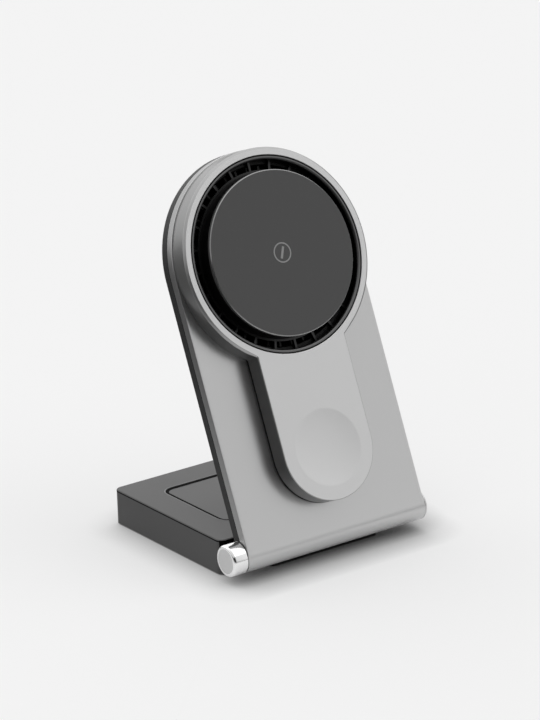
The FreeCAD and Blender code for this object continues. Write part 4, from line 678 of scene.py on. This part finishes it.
# Painted highlight: the pad's bevel is bright glossy metal, unlike the pad's plastic.
rim_painted_highlight = metal("rim_painted_highlight", RIM_HIGHLIGHT_TONE, 0.2, relief=0.002, metallic=0.8)
piece("pad_disc", [lid(pad_side[0]), band(pad_side), band(pad_bevel, 1), lid(pad_bevel[-1])],
      [pad_rubber, rim_painted_highlight], "panel", "pad_dark", "pad_face")
mark_low, mark_high = PAD_TOP - MARK_DEEP, PAD_TOP + MARK_LIFT
mark_ring = on_panel(round_point(HEAD_REACH, [
    (MARK_OUTER, mark_low), (MARK_OUTER, mark_high), (MARK_INNER, mark_high), (MARK_INNER, mark_low)],
    MARK_STEPS))
bar_long = BAR_HALF_LENGTH * np.array([np.sin(BAR_LEAN), np.cos(BAR_LEAN), 0])
bar_wide = BAR_HALF_WIDTH * np.array([np.cos(BAR_LEAN), -np.sin(BAR_LEAN), 0])
bar_loop = np.array([-bar_long - bar_wide, bar_wide - bar_long, bar_long + bar_wide, bar_long - bar_wide])
mark_bar = on_panel(np.stack([bar_loop + (0, HEAD_REACH, height) for height in (mark_low, mark_high)]))
mark_ink = moulded("mark_ink", MARK_TONE, 0.5, grain=0.2, relief=0.004)
piece("pad_mark", [band(mark_ring, tube=True), lid(mark_bar[0]), band(mark_bar), lid(mark_bar[1])],
      [mark_ink], "panel", "pad_dark")

# Vent: a moulded black guard whose fine ribs span from the pad's carrier to a bezel ring. The bezel
# is black outside, and its crown rolls inwards in a paler satin metal, a painted highlight line on the
# black bezel.
CARRIER_TONE, GUARD_TONE, BEZEL_TONE, CROWN_HIGHLIGHT_TONE = grey(6), grey(12), grey(5), grey(104)
BEZEL_OUTER, BEZEL_INNER, BEZEL_FOOT, BEZEL_TOP = 33.8, 32.4, 9.6, 12.7
CROWN_OUTER, CROWN_FLAT, CROWN_LIFT, CROWN_DROP, ROLL_STEPS = 33.55, 33.2, 0.04, 0.8, 9
dress(moulded("carrier_plastic", CARRIER_TONE, 0.35, relief=0.006, specular=0.3), "pad_carrier")
dress(moulded("guard_plastic", GUARD_TONE, 0.3, relief=0.006), "vent_guard")
turn = np.radians(np.linspace(0, 90, ROLL_STEPS))
crown_top = BEZEL_TOP + CROWN_LIFT
roll = np.stack([
    CROWN_FLAT - (CROWN_FLAT - BEZEL_INNER) * np.sin(turn),
    crown_top - CROWN_DROP * (1 - np.cos(turn))], -1)
crown = [(CROWN_OUTER, BEZEL_TOP), (CROWN_OUTER, crown_top), *roll]
body_ring = [
    crown[-1], (BEZEL_INNER, BEZEL_FOOT), (BEZEL_OUTER, BEZEL_FOOT), (BEZEL_OUTER, BEZEL_TOP), crown[0]]
bezel_black = moulded("bezel_black", BEZEL_TONE, 0.2, relief=0.003, specular=0.1)
# Painted highlight: the crown is paler satin metal on the black bezel.
crown_painted_highlight = metal("crown_painted_highlight", CROWN_HIGHLIGHT_TONE, 0.3, relief=0.002, metallic=0.9)
piece("bezel", [
    band(on_panel(round_point(HEAD_REACH, body_ring))), band(on_panel(round_point(HEAD_REACH, crown)), 1),
], [bezel_black, crown_painted_highlight], "panel", "bezel_black", "bezel_ring")

# Fan: a blower behind the guard, its frame and bladed rotor moulded in matt black plastic. The rotor
# turns on a steel shaft in a bronze bearing and draws air in through the vent.
FAN_TONE, BRONZE = grey(6), (0.50, 0.33, 0.16, 1)
dress(moulded("fan_plastic", FAN_TONE, 0.6), "fan_frame", "fan_rotor")
dress(metal("bearing_bronze", BRONZE, 0.4), "fan_bearing")
dress(steel, "fan_shaft")

# Inner pieces: coils wound from enamelled copper, pressed ferrite sheets, nickel-plated magnets,
# masked circuit boards and an alloy cooling plate. The closed shells hide them all.
COPPER, MASK = (0.72, 0.36, 0.20, 1), (0.02, 0.12, 0.05, 1)
FERRITE_TONE, NICKEL_TONE, ALLOY_TONE = grey(48), grey(170), grey(190)
copper_wire = moulded("copper_wire", COPPER, 0.35, relief=0.02, metallic=1.0)
dress(copper_wire, "earbud_coil", "watch_coil", "phone_coil")
ferrite_sheet = moulded("ferrite_sheet", FERRITE_TONE, 0.6, grain=0.4, relief=0.02)
dress(ferrite_sheet, "earbud_ferrite", "watch_ferrite", "phone_ferrite")
magnet_nickel = metal("magnet_nickel", NICKEL_TONE, 0.3)
dress(magnet_nickel, "magnet_ring", "watch_magnet")
dress(moulded("board_mask", MASK, 0.35, grain=0.4), "base_board", "charge_board")
dress(metal("cooling_alloy", ALLOY_TONE, 0.4), "cooling_plate")
